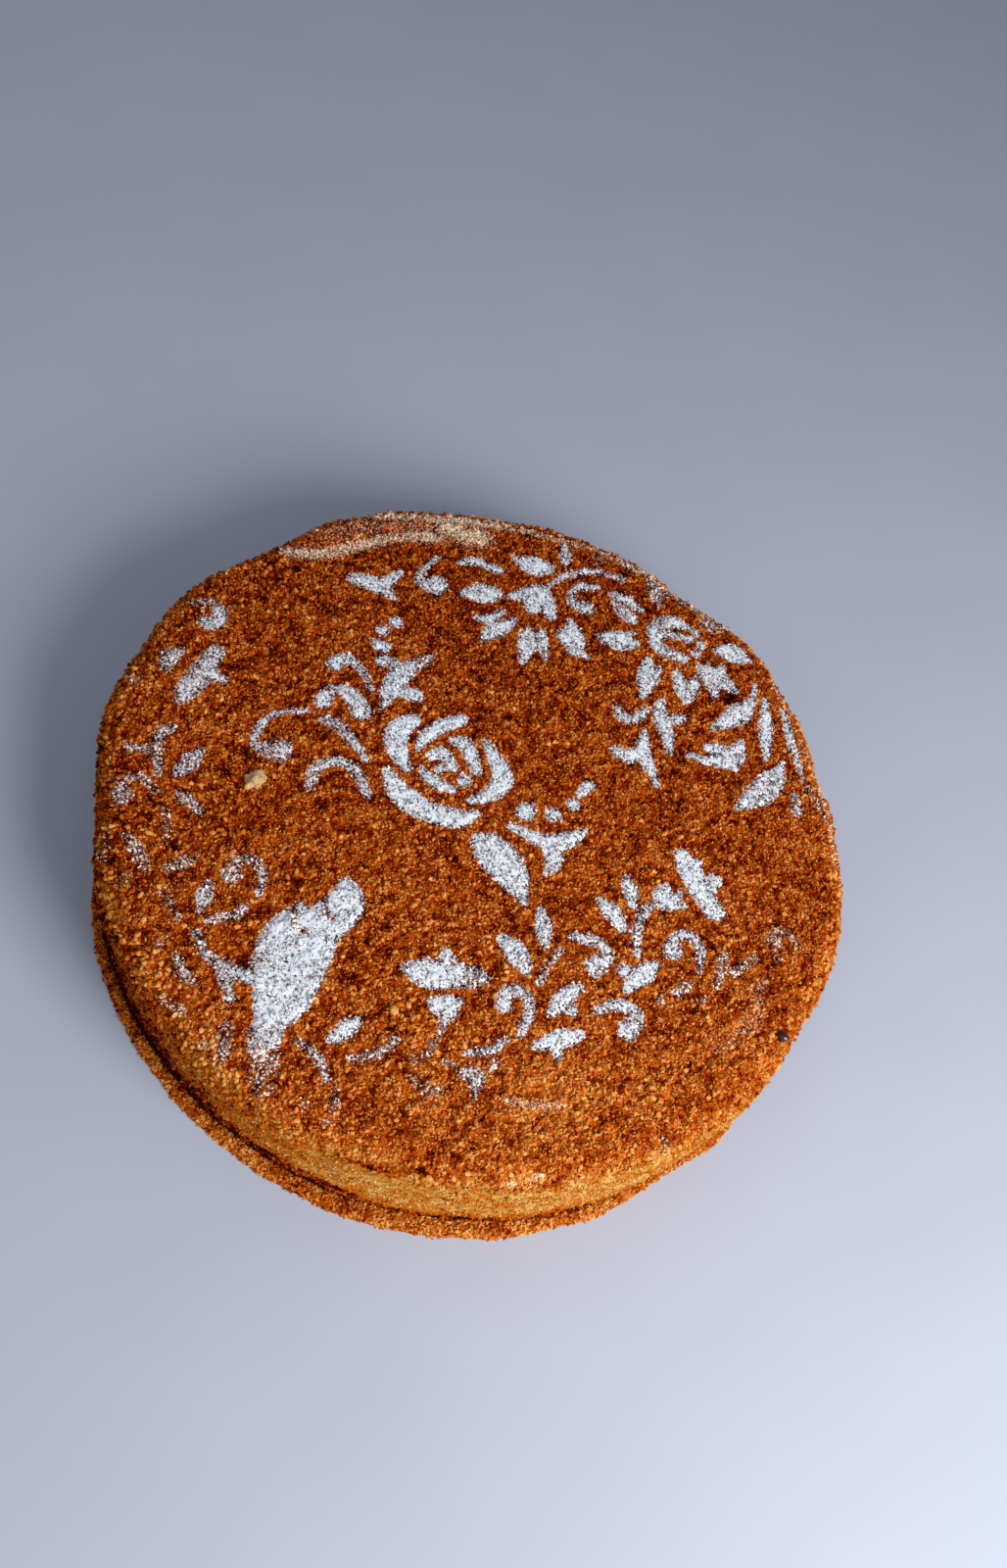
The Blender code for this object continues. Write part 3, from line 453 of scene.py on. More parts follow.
# %% [markdown]
# ## A map of the sugar
#
# For every point of the top we want to know how deep it lies inside a stroke. That is a signed
# distance: positive inside, zero on the edge, negative outside. We paint each stroke as a chain of
# short capsules into a fine grid, keeping the largest value, and beside it how well that stroke
# covers. Distances blend smoothly between grid points, so a coarse mesh still gets a sharp edge.
# A third grid holds the dust that blew over the stencil's edge, as soft bands along a line.
# %% The sugar map
MAP_HALF = 146.0
MAP_STEP = 0.5
MAP_COUNT = int(2 * MAP_HALF / MAP_STEP) + 1
MAP_REACH = 3.0
STROKE_STEP = 2.0


def curve_points(knots):
    """Points along a smooth curve through the knots, with the stroke's width carried along."""
    knots = [Vector(knot) for knot in knots]
    ends = [knots[0]] + knots + [knots[-1]]
    points = []
    for before, start, end, after in zip(ends, ends[1:], ends[2:], ends[3:]):
        start_handle = start + (end - before) / 6
        end_handle = end - (after - start) / 6
        steps = max(1, round((end - start).xy.length / STROKE_STEP))
        points += geometry.interpolate_bezier(start, start_handle, end_handle, end, steps + 1)[:-1]
    return np.array([tuple(point) for point in points + [knots[-1]]])


def from_line(x, y, start, end):
    """For each place, how far along a line it lies, from 0 to 1, and how far from it."""
    along = end[:2] - start[:2]
    length = max(along @ along, 1e-9)
    share = np.clip(((x - start[0]) * along[0] + (y - start[1]) * along[1]) / length, 0, 1)
    return share, np.hypot(x - start[0] - share * along[0], y - start[1] - share * along[1])


def paint(depth, cover, points, strength):
    """Paints a chain of capsules: points are x, y, width."""
    if len(points) == 1:
        points = np.repeat(points, 2, 0)
    for start, end in zip(points, points[1:]):
        wide = max(start[2], end[2]) / 2 + MAP_REACH
        low = np.minimum(start[:2], end[:2]) - wide
        high = np.maximum(start[:2], end[:2]) + wide
        first = np.maximum(0, ((low + MAP_HALF) / MAP_STEP).astype(int))
        last = np.minimum(MAP_COUNT, ((high + MAP_HALF) / MAP_STEP).astype(int) + 2)
        xs = np.arange(first[0], last[0]) * MAP_STEP - MAP_HALF
        ys = np.arange(first[1], last[1]) * MAP_STEP - MAP_HALF
        x, y = np.meshgrid(xs, ys, indexing="ij")
        share, away = from_line(x, y, start, end)
        inside = (start[2] + share * (end[2] - start[2])) / 2 - away
        window = (slice(first[0], last[0]), slice(first[1], last[1]))
        deeper = inside > depth[window]
        depth[window][deeper] = inside[deeper]
        cover[window][deeper] = strength


sugar_depth = np.full((MAP_COUNT, MAP_COUNT), -MAP_REACH)
sugar_cover = np.zeros((MAP_COUNT, MAP_COUNT))
motifs = [(MOTIF_COVER[motif], knots) for motif, strokes in PATTERN.items() for knots in strokes]
for strength, knots in motifs + list(STAINS):
    points = curve_points(knots) if len(knots) > 1 else np.array(knots, float)
    paint(sugar_depth, sugar_cover, points, strength)
map_line = np.linspace(-MAP_HALF, MAP_HALF, MAP_COUNT)
map_x, map_y = np.meshgrid(map_line, map_line, indexing="ij")
for x, y, radius, left in WORN_SPOTS:
    near = np.exp(-((map_x - x) ** 2 + (map_y - y) ** 2) / radius**2)
    sugar_cover *= 1 - (1 - left) * near
sugar_dust = np.zeros((MAP_COUNT, MAP_COUNT))
for strength, half_width, places in DRIFTS:
    places = np.array(places, float)
    for start, end in zip(places, places[1:]):
        _, away = from_line(map_x, map_y, start, end)
        sugar_dust = np.maximum(sugar_dust, strength * np.exp(-((away / half_width) ** 2) / 2))


def look_up(grid, x, y):
    """A grid's value at places in metres from the drum's centre, blended between grid points."""
    column = np.clip((x / MM + MAP_HALF) / MAP_STEP, 0, MAP_COUNT - 1.001)
    row = np.clip((y / MM + MAP_HALF) / MAP_STEP, 0, MAP_COUNT - 1.001)
    left, near = column.astype(int), row.astype(int)
    across, up = column - left, row - near
    low = grid[left, near] * (1 - across) + grid[left + 1, near] * across
    high = grid[left, near + 1] * (1 - across) + grid[left + 1, near + 1] * across
    return low * (1 - up) + high * up


print("share of the map under sugar:", round(float((sugar_depth > 0).mean()), 3))

# %% [markdown]
# ## The skin of the cake
#
# The cake is one closed skin: a nearly flat top, a rolled rim and an upright side. The top is a
# square grid pressed into a disc, because rings would crowd together at the middle, and the side
# carries on from the disc's edge as rings. Every point then moves along its own normal: up and
# down for the bed of crumbs, in and out for the ridges that the palette knife left on the side,
# and up under the sugar, which lies nearly a millimetre thick.
# %% Skin: points before the relief
GRID = 216
AROUND = 4 * GRID
RIM_RINGS = 17
SIDE_RINGS = 36
TOP_SWELL = 0.5 * MM
TOP_SWELL_LENGTH = 38 * MM
SIDE_RIDGE = 0.7 * MM
SIDE_RIDGE_LENGTH = 34 * MM
SIDE_RIDGE_RISE = 7 * MM


def top_height(x, y):
    """The height of the crumbs on top, at a place measured from the drum's centre."""
    radius = np.hypot(x, y)
    edge = cake_radius(np.degrees(np.arctan2(y, x)))
    rolled = np.maximum(0.0, radius - (edge - RIM_ROUND))
    drop = RIM_ROUND - np.sqrt(np.maximum(0.0, RIM_ROUND**2 - rolled**2))
    swell = rough(np.stack([x, y, x * 0], -1), TOP_SWELL_LENGTH) * TOP_SWELL
    return CAKE_HEIGHT + swell - drop


def side_radius(angle, height):
    x, y = planar(angle, CAKE_RADIUS / SIDE_RIDGE_LENGTH)
    place = np.stack([x, y, height / SIDE_RIDGE_RISE * np.ones_like(x)], -1)
    tuck = FOOT_TUCK * np.maximum(0.0, 1 - height / FOOT_HEIGHT)
    return cake_radius(angle) + rough(place, 1.0) * SIDE_RIDGE - tuck


def disc_grid(count):
    """A square grid pressed into a disc: share of the radius and direction of each point."""
    line = np.linspace(-1, 1, count + 1)
    a, b = np.meshgrid(line, line, indexing="ij")
    wide = np.abs(a) >= np.abs(b)
    safe_a = np.where(np.abs(a) < 1e-9, 1, a)
    safe_b = np.where(np.abs(b) < 1e-9, 1, b)
    reach = np.where(wide, a, b)
    turn = np.where(wide, 45 * b / safe_a, 90 - 45 * a / safe_b)
    turn = np.where(reach < 0, turn + 180, turn)
    return np.abs(reach), turn % 360


share, turn = disc_grid(GRID)
share, turn = share.ravel(), turn.ravel()
flat_edge = cake_radius(turn) - RIM_ROUND
top_x, top_y = planar(turn, share * flat_edge)
top_points = np.stack([top_x, top_y, top_height(top_x, top_y)], -1)
number = np.arange((GRID + 1) ** 2).reshape(GRID + 1, GRID + 1)
loop = np.concatenate([number[-1, :-1], number[::-1, -1][:-1], number[0, ::-1][:-1], number[:, 0][:-1]])
print("top:", len(top_points), "points; edge loop of", len(loop))

# %% Skin: rings of the rim and the side
loop_angle = turn[loop]
loop_edge = flat_edge[loop]
side_top = CAKE_HEIGHT - RIM_ROUND
rise = top_points[loop, 2] - side_top
reach = side_radius(loop_angle, side_top) - loop_edge
rings, ring_normals = [], []
for step in range(1, RIM_RINGS + 1):
    lean = math.radians(90 * step / RIM_RINGS)
    x, y = planar(loop_angle, loop_edge + reach * math.sin(lean))
    rings.append(np.stack([x, y, side_top + rise * math.cos(lean)], -1))
    x, y = planar(loop_angle, math.sin(lean))
    ring_normals.append(np.stack([x, y, x * 0 + math.cos(lean)], -1))
for step in range(1, SIDE_RINGS + 1):
    height = side_top * (1 - step / SIDE_RINGS)
    x, y = planar(loop_angle, side_radius(loop_angle, height))
    rings.append(np.stack([x, y, x * 0 + height], -1))
    x, y = planar(loop_angle, 1.0)
    ring_normals.append(np.stack([x, y, x * 0], -1))
points = np.concatenate([top_points] + rings)
normals = np.concatenate([np.tile((0.0, 0.0, 1.0), (len(top_points), 1))] + ring_normals)
print("skin:", len(points), "points")

# %% [markdown]
# ## The relief
#
# Noise of several sizes makes the bed that the crumbs lie on. On top it is bumps of 6, 2.6 and
# 1.5 mm; on the side it is calmer and drawn out sideways, in low terraces, because there a knife
# pressed the crumbs flat. Three cracks are grooves along a short line. Patches and toasted spots
# change only the tone, and the palest patches carry some dust too.
# %% Relief
BED = ((6.0 * MM, 0.35 * MM), (2.6 * MM, 0.75 * MM), (1.5 * MM, 0.45 * MM))
SIDE_CALM = 0.25
KNIFE_MARKS = ((26 * MM, 2.6 * MM, 0.42 * MM), (11 * MM, 1.3 * MM, 0.24 * MM))
SUGAR_RAISE = 0.6 * MM
SUGAR_EVENS = 0.45
SUGAR_BANK = 1.6
GROOVE_WIDTH = 0.8 * MM
RIM_FROM, RIM_TO = 34 * MM, 41 * MM
# Cracks: two ends in mm from the drum's centre, and how deep
GROOVES = (
    ((86, -79, 46), (87, -89, 45), 1.6),
    ((-1, -132.5, 41.8), (9, -132.5, 41), 0.45),
    ((9, -132.5, 41), (26, -127.5, 44), 0.35),
)
# Patches on the side: azimuth, height, half length and half height in mm, change of tone. The three
# low dark ones at the front foot are partly dark crumbs and partly painted shade along the foot.
PATCHES = (
    (271.0, 41.6, 4.0, 1.0, -0.40), (275.5, 41.2, 5.0, 1.1, -0.42), (281.0, 44.0, 5.0, 1.0, -0.30),
    (290.0, 33.0, 6.0, 0.9, -0.26), (296.5, 36.0, 5.0, 1.0, -0.32), (298.5, 43.0, 4.0, 1.6, -0.32),
    (312.0, 30.0, 6.0, 1.0, -0.22), (264.0, 30.0, 8.0, 1.0, -0.18), (255.0, 36.0, 7.0, 1.0, -0.20),
    (293.0, 43.2, 3.0, 1.3, 0.50), (296.2, 44.8, 4.0, 1.1, 0.55), (302.0, 40.0, 4.0, 1.0, 0.22),
    (285.0, 38.0, 7.0, 1.6, 0.10), (272.5, 9.5, 4.5, 1.3, -0.30), (280.0, 7.5, 6.0, 1.2, -0.35),
    (289.0, 4.8, 7.0, 1.4, -0.38),
)
PATCH_DUSTED_FROM = 0.4
PATCH_DUST = 0.62
# Toasted spots on top: x, y, radius in mm, change of tone
TOASTED_SPOTS = (
    (70.6, 83.0, 3.0, -0.55), (52.7, 6.8, 3.0, -0.3), (-17.5, -83.0, 3.0, -0.35),
    (-50.5, -91.0, 2.2, -0.5), (7.0, -103.0, 2.5, -0.3), (50.0, -97.0, 14.0, 0.12),
    (64.0, -87.0, 12.0, 0.14), (80.0, -76.0, 11.0, 0.1), (20.0, -110.0, 12.0, 0.1),
    (104.0, -50.0, 12.0, 0.08),
)


def between(value, low, high):
    """0 below low and 1 above high, with a smooth step between."""
    share = np.clip((value - low) / (high - low), 0, 1)
    return share * share * (3 - 2 * share)


tipped = 1 - normals[:, 2]
on_top_side = normals[:, 2] > 0.3
patchy = rough(points, 9 * MM)
upright = between(tipped + 0.22 * patchy, 0.12, 0.75)
pressed = between(tipped, 0.1, 0.8)
bed = sum(rough(points, length) * height for length, height in BED)
marks = sum(rough(points / (length, length, width), 1.0) * deep for length, width, deep in KNIFE_MARKS)
above_side = between(points[:, 2], RIM_FROM, RIM_TO)
depth_at = look_up(sugar_depth, points[:, 0], points[:, 1])
cover_at = look_up(sugar_cover, points[:, 0], points[:, 1]) * above_side
dust_at = look_up(sugar_dust, points[:, 0], points[:, 1]) * between(points[:, 2], 30 * MM, 42 * MM)
under_sugar = between(depth_at, -0.3, 0.7) * between(cover_at, 0.4, 1.0)
bed *= 1 - SUGAR_EVENS * under_sugar
raised = between(depth_at, -0.2, SUGAR_BANK) * cover_at * SUGAR_RAISE
relief = bed * (1 - (1 - SIDE_CALM) * pressed) + marks * pressed + raised
crack_shade = np.zeros(len(points))
for start, end, deep in GROOVES:
    start, end = np.array(start) * MM, np.array(end) * MM
    along = end - start
    share = np.clip((points - start) @ along / (along @ along), 0, 1)
    away = np.linalg.norm(points - start - share[:, None] * along, axis=1)
    groove = np.exp(-((away / GROOVE_WIDTH) ** 2))
    relief -= deep * MM * groove
    crack_shade = np.maximum(crack_shade, groove)
relief[-AROUND:] = 0
# How high the bed lies, 0 in its pits and 1 on its bumps. It darkens the crumbs' tone in the pits, as painted
# shade, and thins the sugar there.
cavity = between(bed, -0.55 * MM, 0.4 * MM)
skin_points = points + normals * relief[:, None] + CENTRE
# The colour drifts from reddish at the back left to golden at the front right, away from and
# towards the window lamp: partly a real toast, partly painted shade and painted light. It also
# darkens to the foot in a band that is taller away from the lamp, partly darker crumbs and partly
# painted shade at the foot, and the crease right at the foot is painted shade. These painted shades
# are kept weaker on the unseen back, which is kept lighter.
SUNWARD = (0.52, -0.855, 0)
sunlit = (SUNWARD[0] * points[:, 0] + SUNWARD[1] * points[:, 1]) / CAKE_RADIUS
at_back = between(points[:, 1] / CAKE_RADIUS, -0.1, 0.6)
unlit = np.clip(1 - sunlit, 0, 0.7) * (1 - 0.65 * at_back * pressed)
foot_top = (15 + 34 * unlit) * MM
at_foot = 1 - between(points[:, 2] + 3 * MM * rough(points, 5 * MM), 2 * MM, foot_top)
crease_shade = 1 - between(points[:, 2] + 1.2 * MM * rough(points, 4 * MM), 1.2 * MM, 4 * MM)
foot_shade = 0.36 + 1.5 * np.minimum(unlit, 0.15) - 0.5 * np.maximum(unlit - 0.4, 0)
foot_shade *= 1 - 0.5 * at_back
over_rim = between(tipped + 0.1 * patchy, -0.02, 0.3)
streaks = rough(points / (14 * MM, 14 * MM, 1.7 * MM), 1.0)
streaks = streaks + 0.7 * rough(points / (5 * MM, 5 * MM, 1.1 * MM), 1.0)
# The tint is painted lighter towards the lamp and darker away from it, in the foot band and in the foot
# crease: painted light and painted shade.
tint_and_shade = 0.08 * sunlit + 0.07 * over_rim + pressed * (0.03 - 0.55 * unlit) - foot_shade * at_foot - 0.3 * crease_shade
# Knife streaks change the side's tone; the cracks are painted darker, as painted shade in the grooves.
tint_and_shade += pressed * 0.16 * streaks - 0.2 * crack_shade
azimuth = np.degrees(np.arctan2(points[:, 1], points[:, 0])) % 360
for middle, height, half_length, half_height, change in PATCHES:
    away = np.radians(azimuth - middle) * CAKE_RADIUS / MM / half_length
    above = (points[:, 2] / MM - height) / half_height
    near = np.exp(-(away**2 + above**2))
    tint_and_shade += change * near * (1 + 0.5 * patchy)
    if change > PATCH_DUSTED_FROM:
        dust_at = np.maximum(dust_at, PATCH_DUST * near)
for x, y, radius, change in TOASTED_SPOTS:
    away = np.hypot(points[:, 0] / MM - x, points[:, 1] / MM - y)
    tint_and_shade += change * np.exp(-((away / radius) ** 2)) * on_top_side
print("relief from", round(relief.min() / MM, 2), "to", round(relief.max() / MM, 2), "mm")

# %% Skin: faces
quads = [np.stack([number[:-1, :-1], number[1:, :-1], number[1:, 1:], number[:-1, 1:]], -1).reshape(-1, 4)]
ring_loops = [loop] + [
    len(top_points) + step * AROUND + np.arange(AROUND) for step in range(RIM_RINGS + SIDE_RINGS)
]
for upper, lower in zip(ring_loops, ring_loops[1:]):
    quads.append(np.stack([upper, lower, np.roll(lower, -1), np.roll(upper, -1)], -1))
faces = np.concatenate(quads).tolist() + [ring_loops[-1][::-1].tolist()]


def mesh_from(name, corners, faces, material):
    """A mesh with outward faces from arrays."""
    data = bpy.data.meshes.new(name)
    data.from_pydata([tuple(corner) for corner in corners], [], faces)
    turned = bmesh.new()
    turned.from_mesh(data)
    bmesh.ops.recalc_face_normals(turned, faces=turned.faces)
    turned.to_mesh(data)
    turned.free()
    data.shade_smooth()
    data.materials.append(material)
    return data


def store(data, name, values):
    """Keeps one number for each of a mesh's points."""
    made = data.attributes.new(name, "FLOAT", "POINT")
    made.data.foreach_set("value", np.asarray(values, np.float32))


def put(name, data):
    """An object at the origin that rides on the cake's body."""
    made = bpy.data.objects.new(name, data)
    bpy.context.scene.collection.objects.link(made)
    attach(made, "root")
    return made


# %% [markdown]
# ## The look of honey crumbs
#
# Baked honey dough is orange-brown, darker where it toasted and paler inside. A crumb's colour
# comes from a number of its own, `tone`, with fine noise on top, through a ramp from nearly black
# to straw. The whole coat also drifts: darker and redder towards the lower left, away from the
# window lamp, and paler on the side; the drift is partly a real toast and partly painted shade and
# painted light. Low places in the bed are painted darker, as painted shade in the pits. Sugar lies
# on whatever faces up, so the white depends on the depth in the map, on how well the stroke covers,
# on noise, and on how level the surface is; the pinholes where it misses are painted near black, as
# painted shade over the crumbs that show through.
# %% Crumb material
TOASTED = (0.026, 0.0014, 0.0001, 1)
BROWN = (0.205, 0.011, 0.0001, 1)
HONEY = (0.50, 0.102, 0.004, 1)
STRAW = (0.75, 0.33, 0.08, 1)
SUGAR_WHITE = (0.86, 0.92, 0.98, 1)
SUGAR_GREY = (0.58, 0.62, 0.66, 1)
SUGAR_VEIL = (0.98, 0.90, 0.80, 1)
DUST = (0.88, 0.74, 0.54, 1)


def crumb_ramp(tree, value, stops):
    made = wire(tree, "ShaderNodeValToRGB", {"Fac": value})
    ramp = made.color_ramp
    while len(ramp.elements) < len(stops):
        ramp.elements.new(1.0)
    for element, (place, colour) in zip(ramp.elements, stops):
        element.position = place
        element.color = colour
    return made.outputs["Color"]


def crumb_material(name, stops, side_stops, tone=None, grain=0.5 * MM, bump=0.12 * MM):
    """Crumbs with sugar on what faces up. Without a tone attribute, noise stands in for it."""
    made, tree, shader = new_material(name)
    own = attribute(tree, tone) if tone else speckle(tree, 1.5 * MM, 3.0, 0.65)
    fine = speckle(tree, grain, 3.0, 0.6)
    drift = speckle(tree, 14 * MM, 3.0, 0.55)
    cavity = attribute(tree, "cavity")
    value = calculate(tree, "MULTIPLY", own, 0.56)
    # The bed's height is added into the tone, so the pits are darker: painted shade.
    for part in (fine, cavity, drift):
        value = plus(tree, value, part, 0.3)
    value = calculate(tree, "ADD", value, attribute(tree, "tint_and_shade"))
    clump = eased(tree, speckle(tree, 5.0 * MM, 2.0, 0.5), 0.6, 0.72)
    value = calculate(tree, "SUBTRACT", value, calculate(tree, "MULTIPLY", clump, 0.22))
    value = calculate(tree, "SUBTRACT", value, 0.18)
    top_colour = crumb_ramp(tree, value, stops)
    side_colour = crumb_ramp(tree, value, side_stops)
    colour = mixed(tree, attribute(tree, "upright"), top_colour, side_colour)

    depth = attribute(tree, "sugar_depth")
    cover = attribute(tree, "sugar_cover")
    holes = speckle(tree, 0.9 * MM, 2.0, 0.7)
    ragged = calculate(tree, "SUBTRACT", speckle(tree, 1.7 * MM, 2.0, 0.6), 0.5)
    edge = plus(tree, depth, ragged, 2.2)
    edge = plus(tree, edge, calculate(tree, "SUBTRACT", 0.5, holes), 2.0)
    inside = eased(tree, edge, -0.2, 0.2)
    normal = wire(tree, "ShaderNodeNewGeometry").outputs["Normal"]
    level = wire(tree, "ShaderNodeSeparateXYZ", {0: normal}).outputs["Z"]
    limit = calculate(tree, "ADD", calculate(tree, "MULTIPLY", cover, 0.3), 0.045)
    limit = plus(tree, limit, level, 0.14)
    limit = plus(tree, limit, cavity, 0.1)
    limit = plus(tree, limit, eased(tree, depth, 0.0, 2.5), 0.07)
    powder = eased(tree, calculate(tree, "SUBTRACT", limit, holes), -0.03, 0.02)
    white = calculate(tree, "MULTIPLY", inside, powder)
    # Where the powder misses inside a stroke, the colour is pulled towards near black: painted shade in the
    # pinholes, over the crumbs that show through.
    pinhole_shade = calculate(tree, "MULTIPLY", inside, calculate(tree, "SUBTRACT", cover, powder, clamp=True))
    colour = mixed(tree, calculate(tree, "MULTIPLY", pinhole_shade, 0.75), colour, TOASTED)
    sugar_tint = mixed(tree, speckle(tree, 0.6 * MM, 2.0, 0.7), SUGAR_GREY, SUGAR_WHITE)
    sugar_tint = mixed(tree, eased(tree, cover, 0.5, 0.85), SUGAR_VEIL, sugar_tint)
    dust = calculate(tree, "SUBTRACT", attribute(tree, "sugar_dust"), speckle(tree, 0.9 * MM, 2.0, 0.7))
    veil = calculate(tree, "MULTIPLY", eased(tree, dust, -0.03, 0.04), 0.8)
    colour = mixed(tree, veil, colour, DUST)
    colour = mixed(tree, white, colour, sugar_tint)
    tree.links.new(colour, shader.inputs["Base Color"])
    rough_at = wire(tree, "ShaderNodeMapRange", {"Value": fine, "To Min": 0.5, "To Max": 0.85})
    tree.links.new(rough_at.outputs["Result"], shader.inputs["Roughness"])
    shader.inputs["Specular IOR Level"].default_value = 0.02
    relief_node = wire(tree, "ShaderNodeBump", {"Strength": 0.9, "Distance": bump, "Height": fine})
    tree.links.new(relief_node.outputs["Normal"], shader.inputs["Normal"])
    return made


TOP_STOPS = ((0.18, TOASTED), (0.36, BROWN), (0.60, HONEY), (0.95, STRAW))
GOLD = (0.43, 0.155, 0.010, 1)
CREAM = (0.64, 0.38, 0.12, 1)
SIDE_STOPS = ((0.05, TOASTED), (0.24, BROWN), (0.45, HONEY), (0.67, GOLD), (1.0, CREAM))
# The bed's ramp is darker than the crumbs', so the skin that shows between them reads as pits: painted shade
# in the gaps.
BED_AND_PIT_SHADE_STOPS = ((0.3, TOASTED), (0.55, BROWN), (0.85, HONEY), (1.0, STRAW))
bed_and_pit_shade_material = crumb_material("bed of crumbs", BED_AND_PIT_SHADE_STOPS, SIDE_STOPS)
crumb_look = crumb_material("honey crumb", TOP_STOPS, SIDE_STOPS, tone="tone")

# %% The coat
coat_data = mesh_from("cake_coat", skin_points, faces, bed_and_pit_shade_material)
store(coat_data, "sugar_depth", depth_at)
store(coat_data, "sugar_cover", cover_at)
store(coat_data, "sugar_dust", dust_at)
store(coat_data, "upright", upright)
store(coat_data, "cavity", cavity)
store(coat_data, "tint_and_shade", tint_and_shade)
coat = put("cake_coat", coat_data)
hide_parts("cake")
coat_data.calc_loop_triangles()
print("cake_coat:", len(coat_data.loop_triangles), "triangles")

# %% [markdown]
# ## A handful of crumb shapes
#
# The coat has three kinds of fine crumb. The finest is a meal of tiny splinters with four faces.
# The common honey crumb is a lump with six. A broken crumb is a flat chip off the toasted crust,
# with eight. So few faces are plenty for a millimetre, since tens of thousands have to be drawn.
# The coarse lumps start as a ball with more faces. We push the corners about, so no two are alike.
# %% Crumb shapes
# How many sides a kind's belt has, and how high its tips are
LUMP_KINDS = {
    "meal": (3, (0.8 * MM,)),
    "shard": (3, (-0.5 * MM, 0.5 * MM)),
    "chip": (4, (-0.3 * MM, 0.3 * MM)),
}


def lump(name, kind, seed, uneven):
    """One crumb shape, a millimetre across."""
    dice = random.Random(seed)
    shape = bmesh.new()
    if kind == "ball":
        bmesh.ops.create_icosphere(shape, subdivisions=1, radius=0.5 * MM)
    else:
        sides, tips = LUMP_KINDS[kind]
        belt = bmesh.ops.create_circle(shape, segments=sides, radius=0.62 * MM)["verts"]
        for height in tips:
            tip = shape.verts.new((0, 0, height))
            for near, far in zip(belt, belt[1:] + belt[:1]):
                shape.faces.new((near, far, tip))
        if len(tips) == 1:
            shape.faces.new(belt)
    for corner in shape.verts:
        corner.co *= 1 + dice.uniform(-uneven, uneven)
        corner.co += Vector([dice.uniform(-0.09, 0.09) * MM for _ in range(3)])
    shape.transform(Matrix.Diagonal((1.15, dice.uniform(0.75, 1.0), dice.uniform(0.6, 0.95), 1)))
    shape.transform(Euler([dice.uniform(0, math.tau) for _ in range(3)]).to_matrix().to_4x4())
    bmesh.ops.triangulate(shape, faces=shape.faces)
    bmesh.ops.recalc_face_normals(shape, faces=shape.faces)
    data = bpy.data.meshes.new(name)
    shape.to_mesh(data)
    shape.free()
    return bpy.data.objects.new(name, data)


def shape_set(name, kind, count, uneven):
    home = bpy.data.collections.new(name)
    for index in range(count):
        home.objects.link(lump(f"{name}_{index}", kind, 100 + index, uneven))
    return home


coarse_shapes = shape_set("coarse_shapes", "ball", 7, 0.26)
fine_shapes = shape_set("fine_shapes", "shard", 8, 0.24)
meal_shapes = shape_set("meal_shapes", "meal", 6, 0.24)
chip_shapes = shape_set("chip_shapes", "chip", 6, 0.24)

# %% [markdown]
# ## Scattering with Geometry Nodes
#
# A Geometry Nodes tree is the right tool for tens of thousands of lumps: it scatters points on a
# surface, sets a random shape on each, turns and scales it, and keeps the result as one mesh. Its
# inputs are the sizes and the seed, so one tree makes every kind of crumb. A point attribute on
# the surface, `share`, says where this kind is dense. Each crumb gets its own `tone`, and inherits
# the sugar's depth and cover from the spot it lies on.
# %% Scatter tree


def random_value(tree, low, high, seed):
    inputs = {2: low, 3: high, "Seed": seed}
    return wire(tree, "FunctionNodeRandomValue", inputs, data_type="FLOAT").outputs[1]


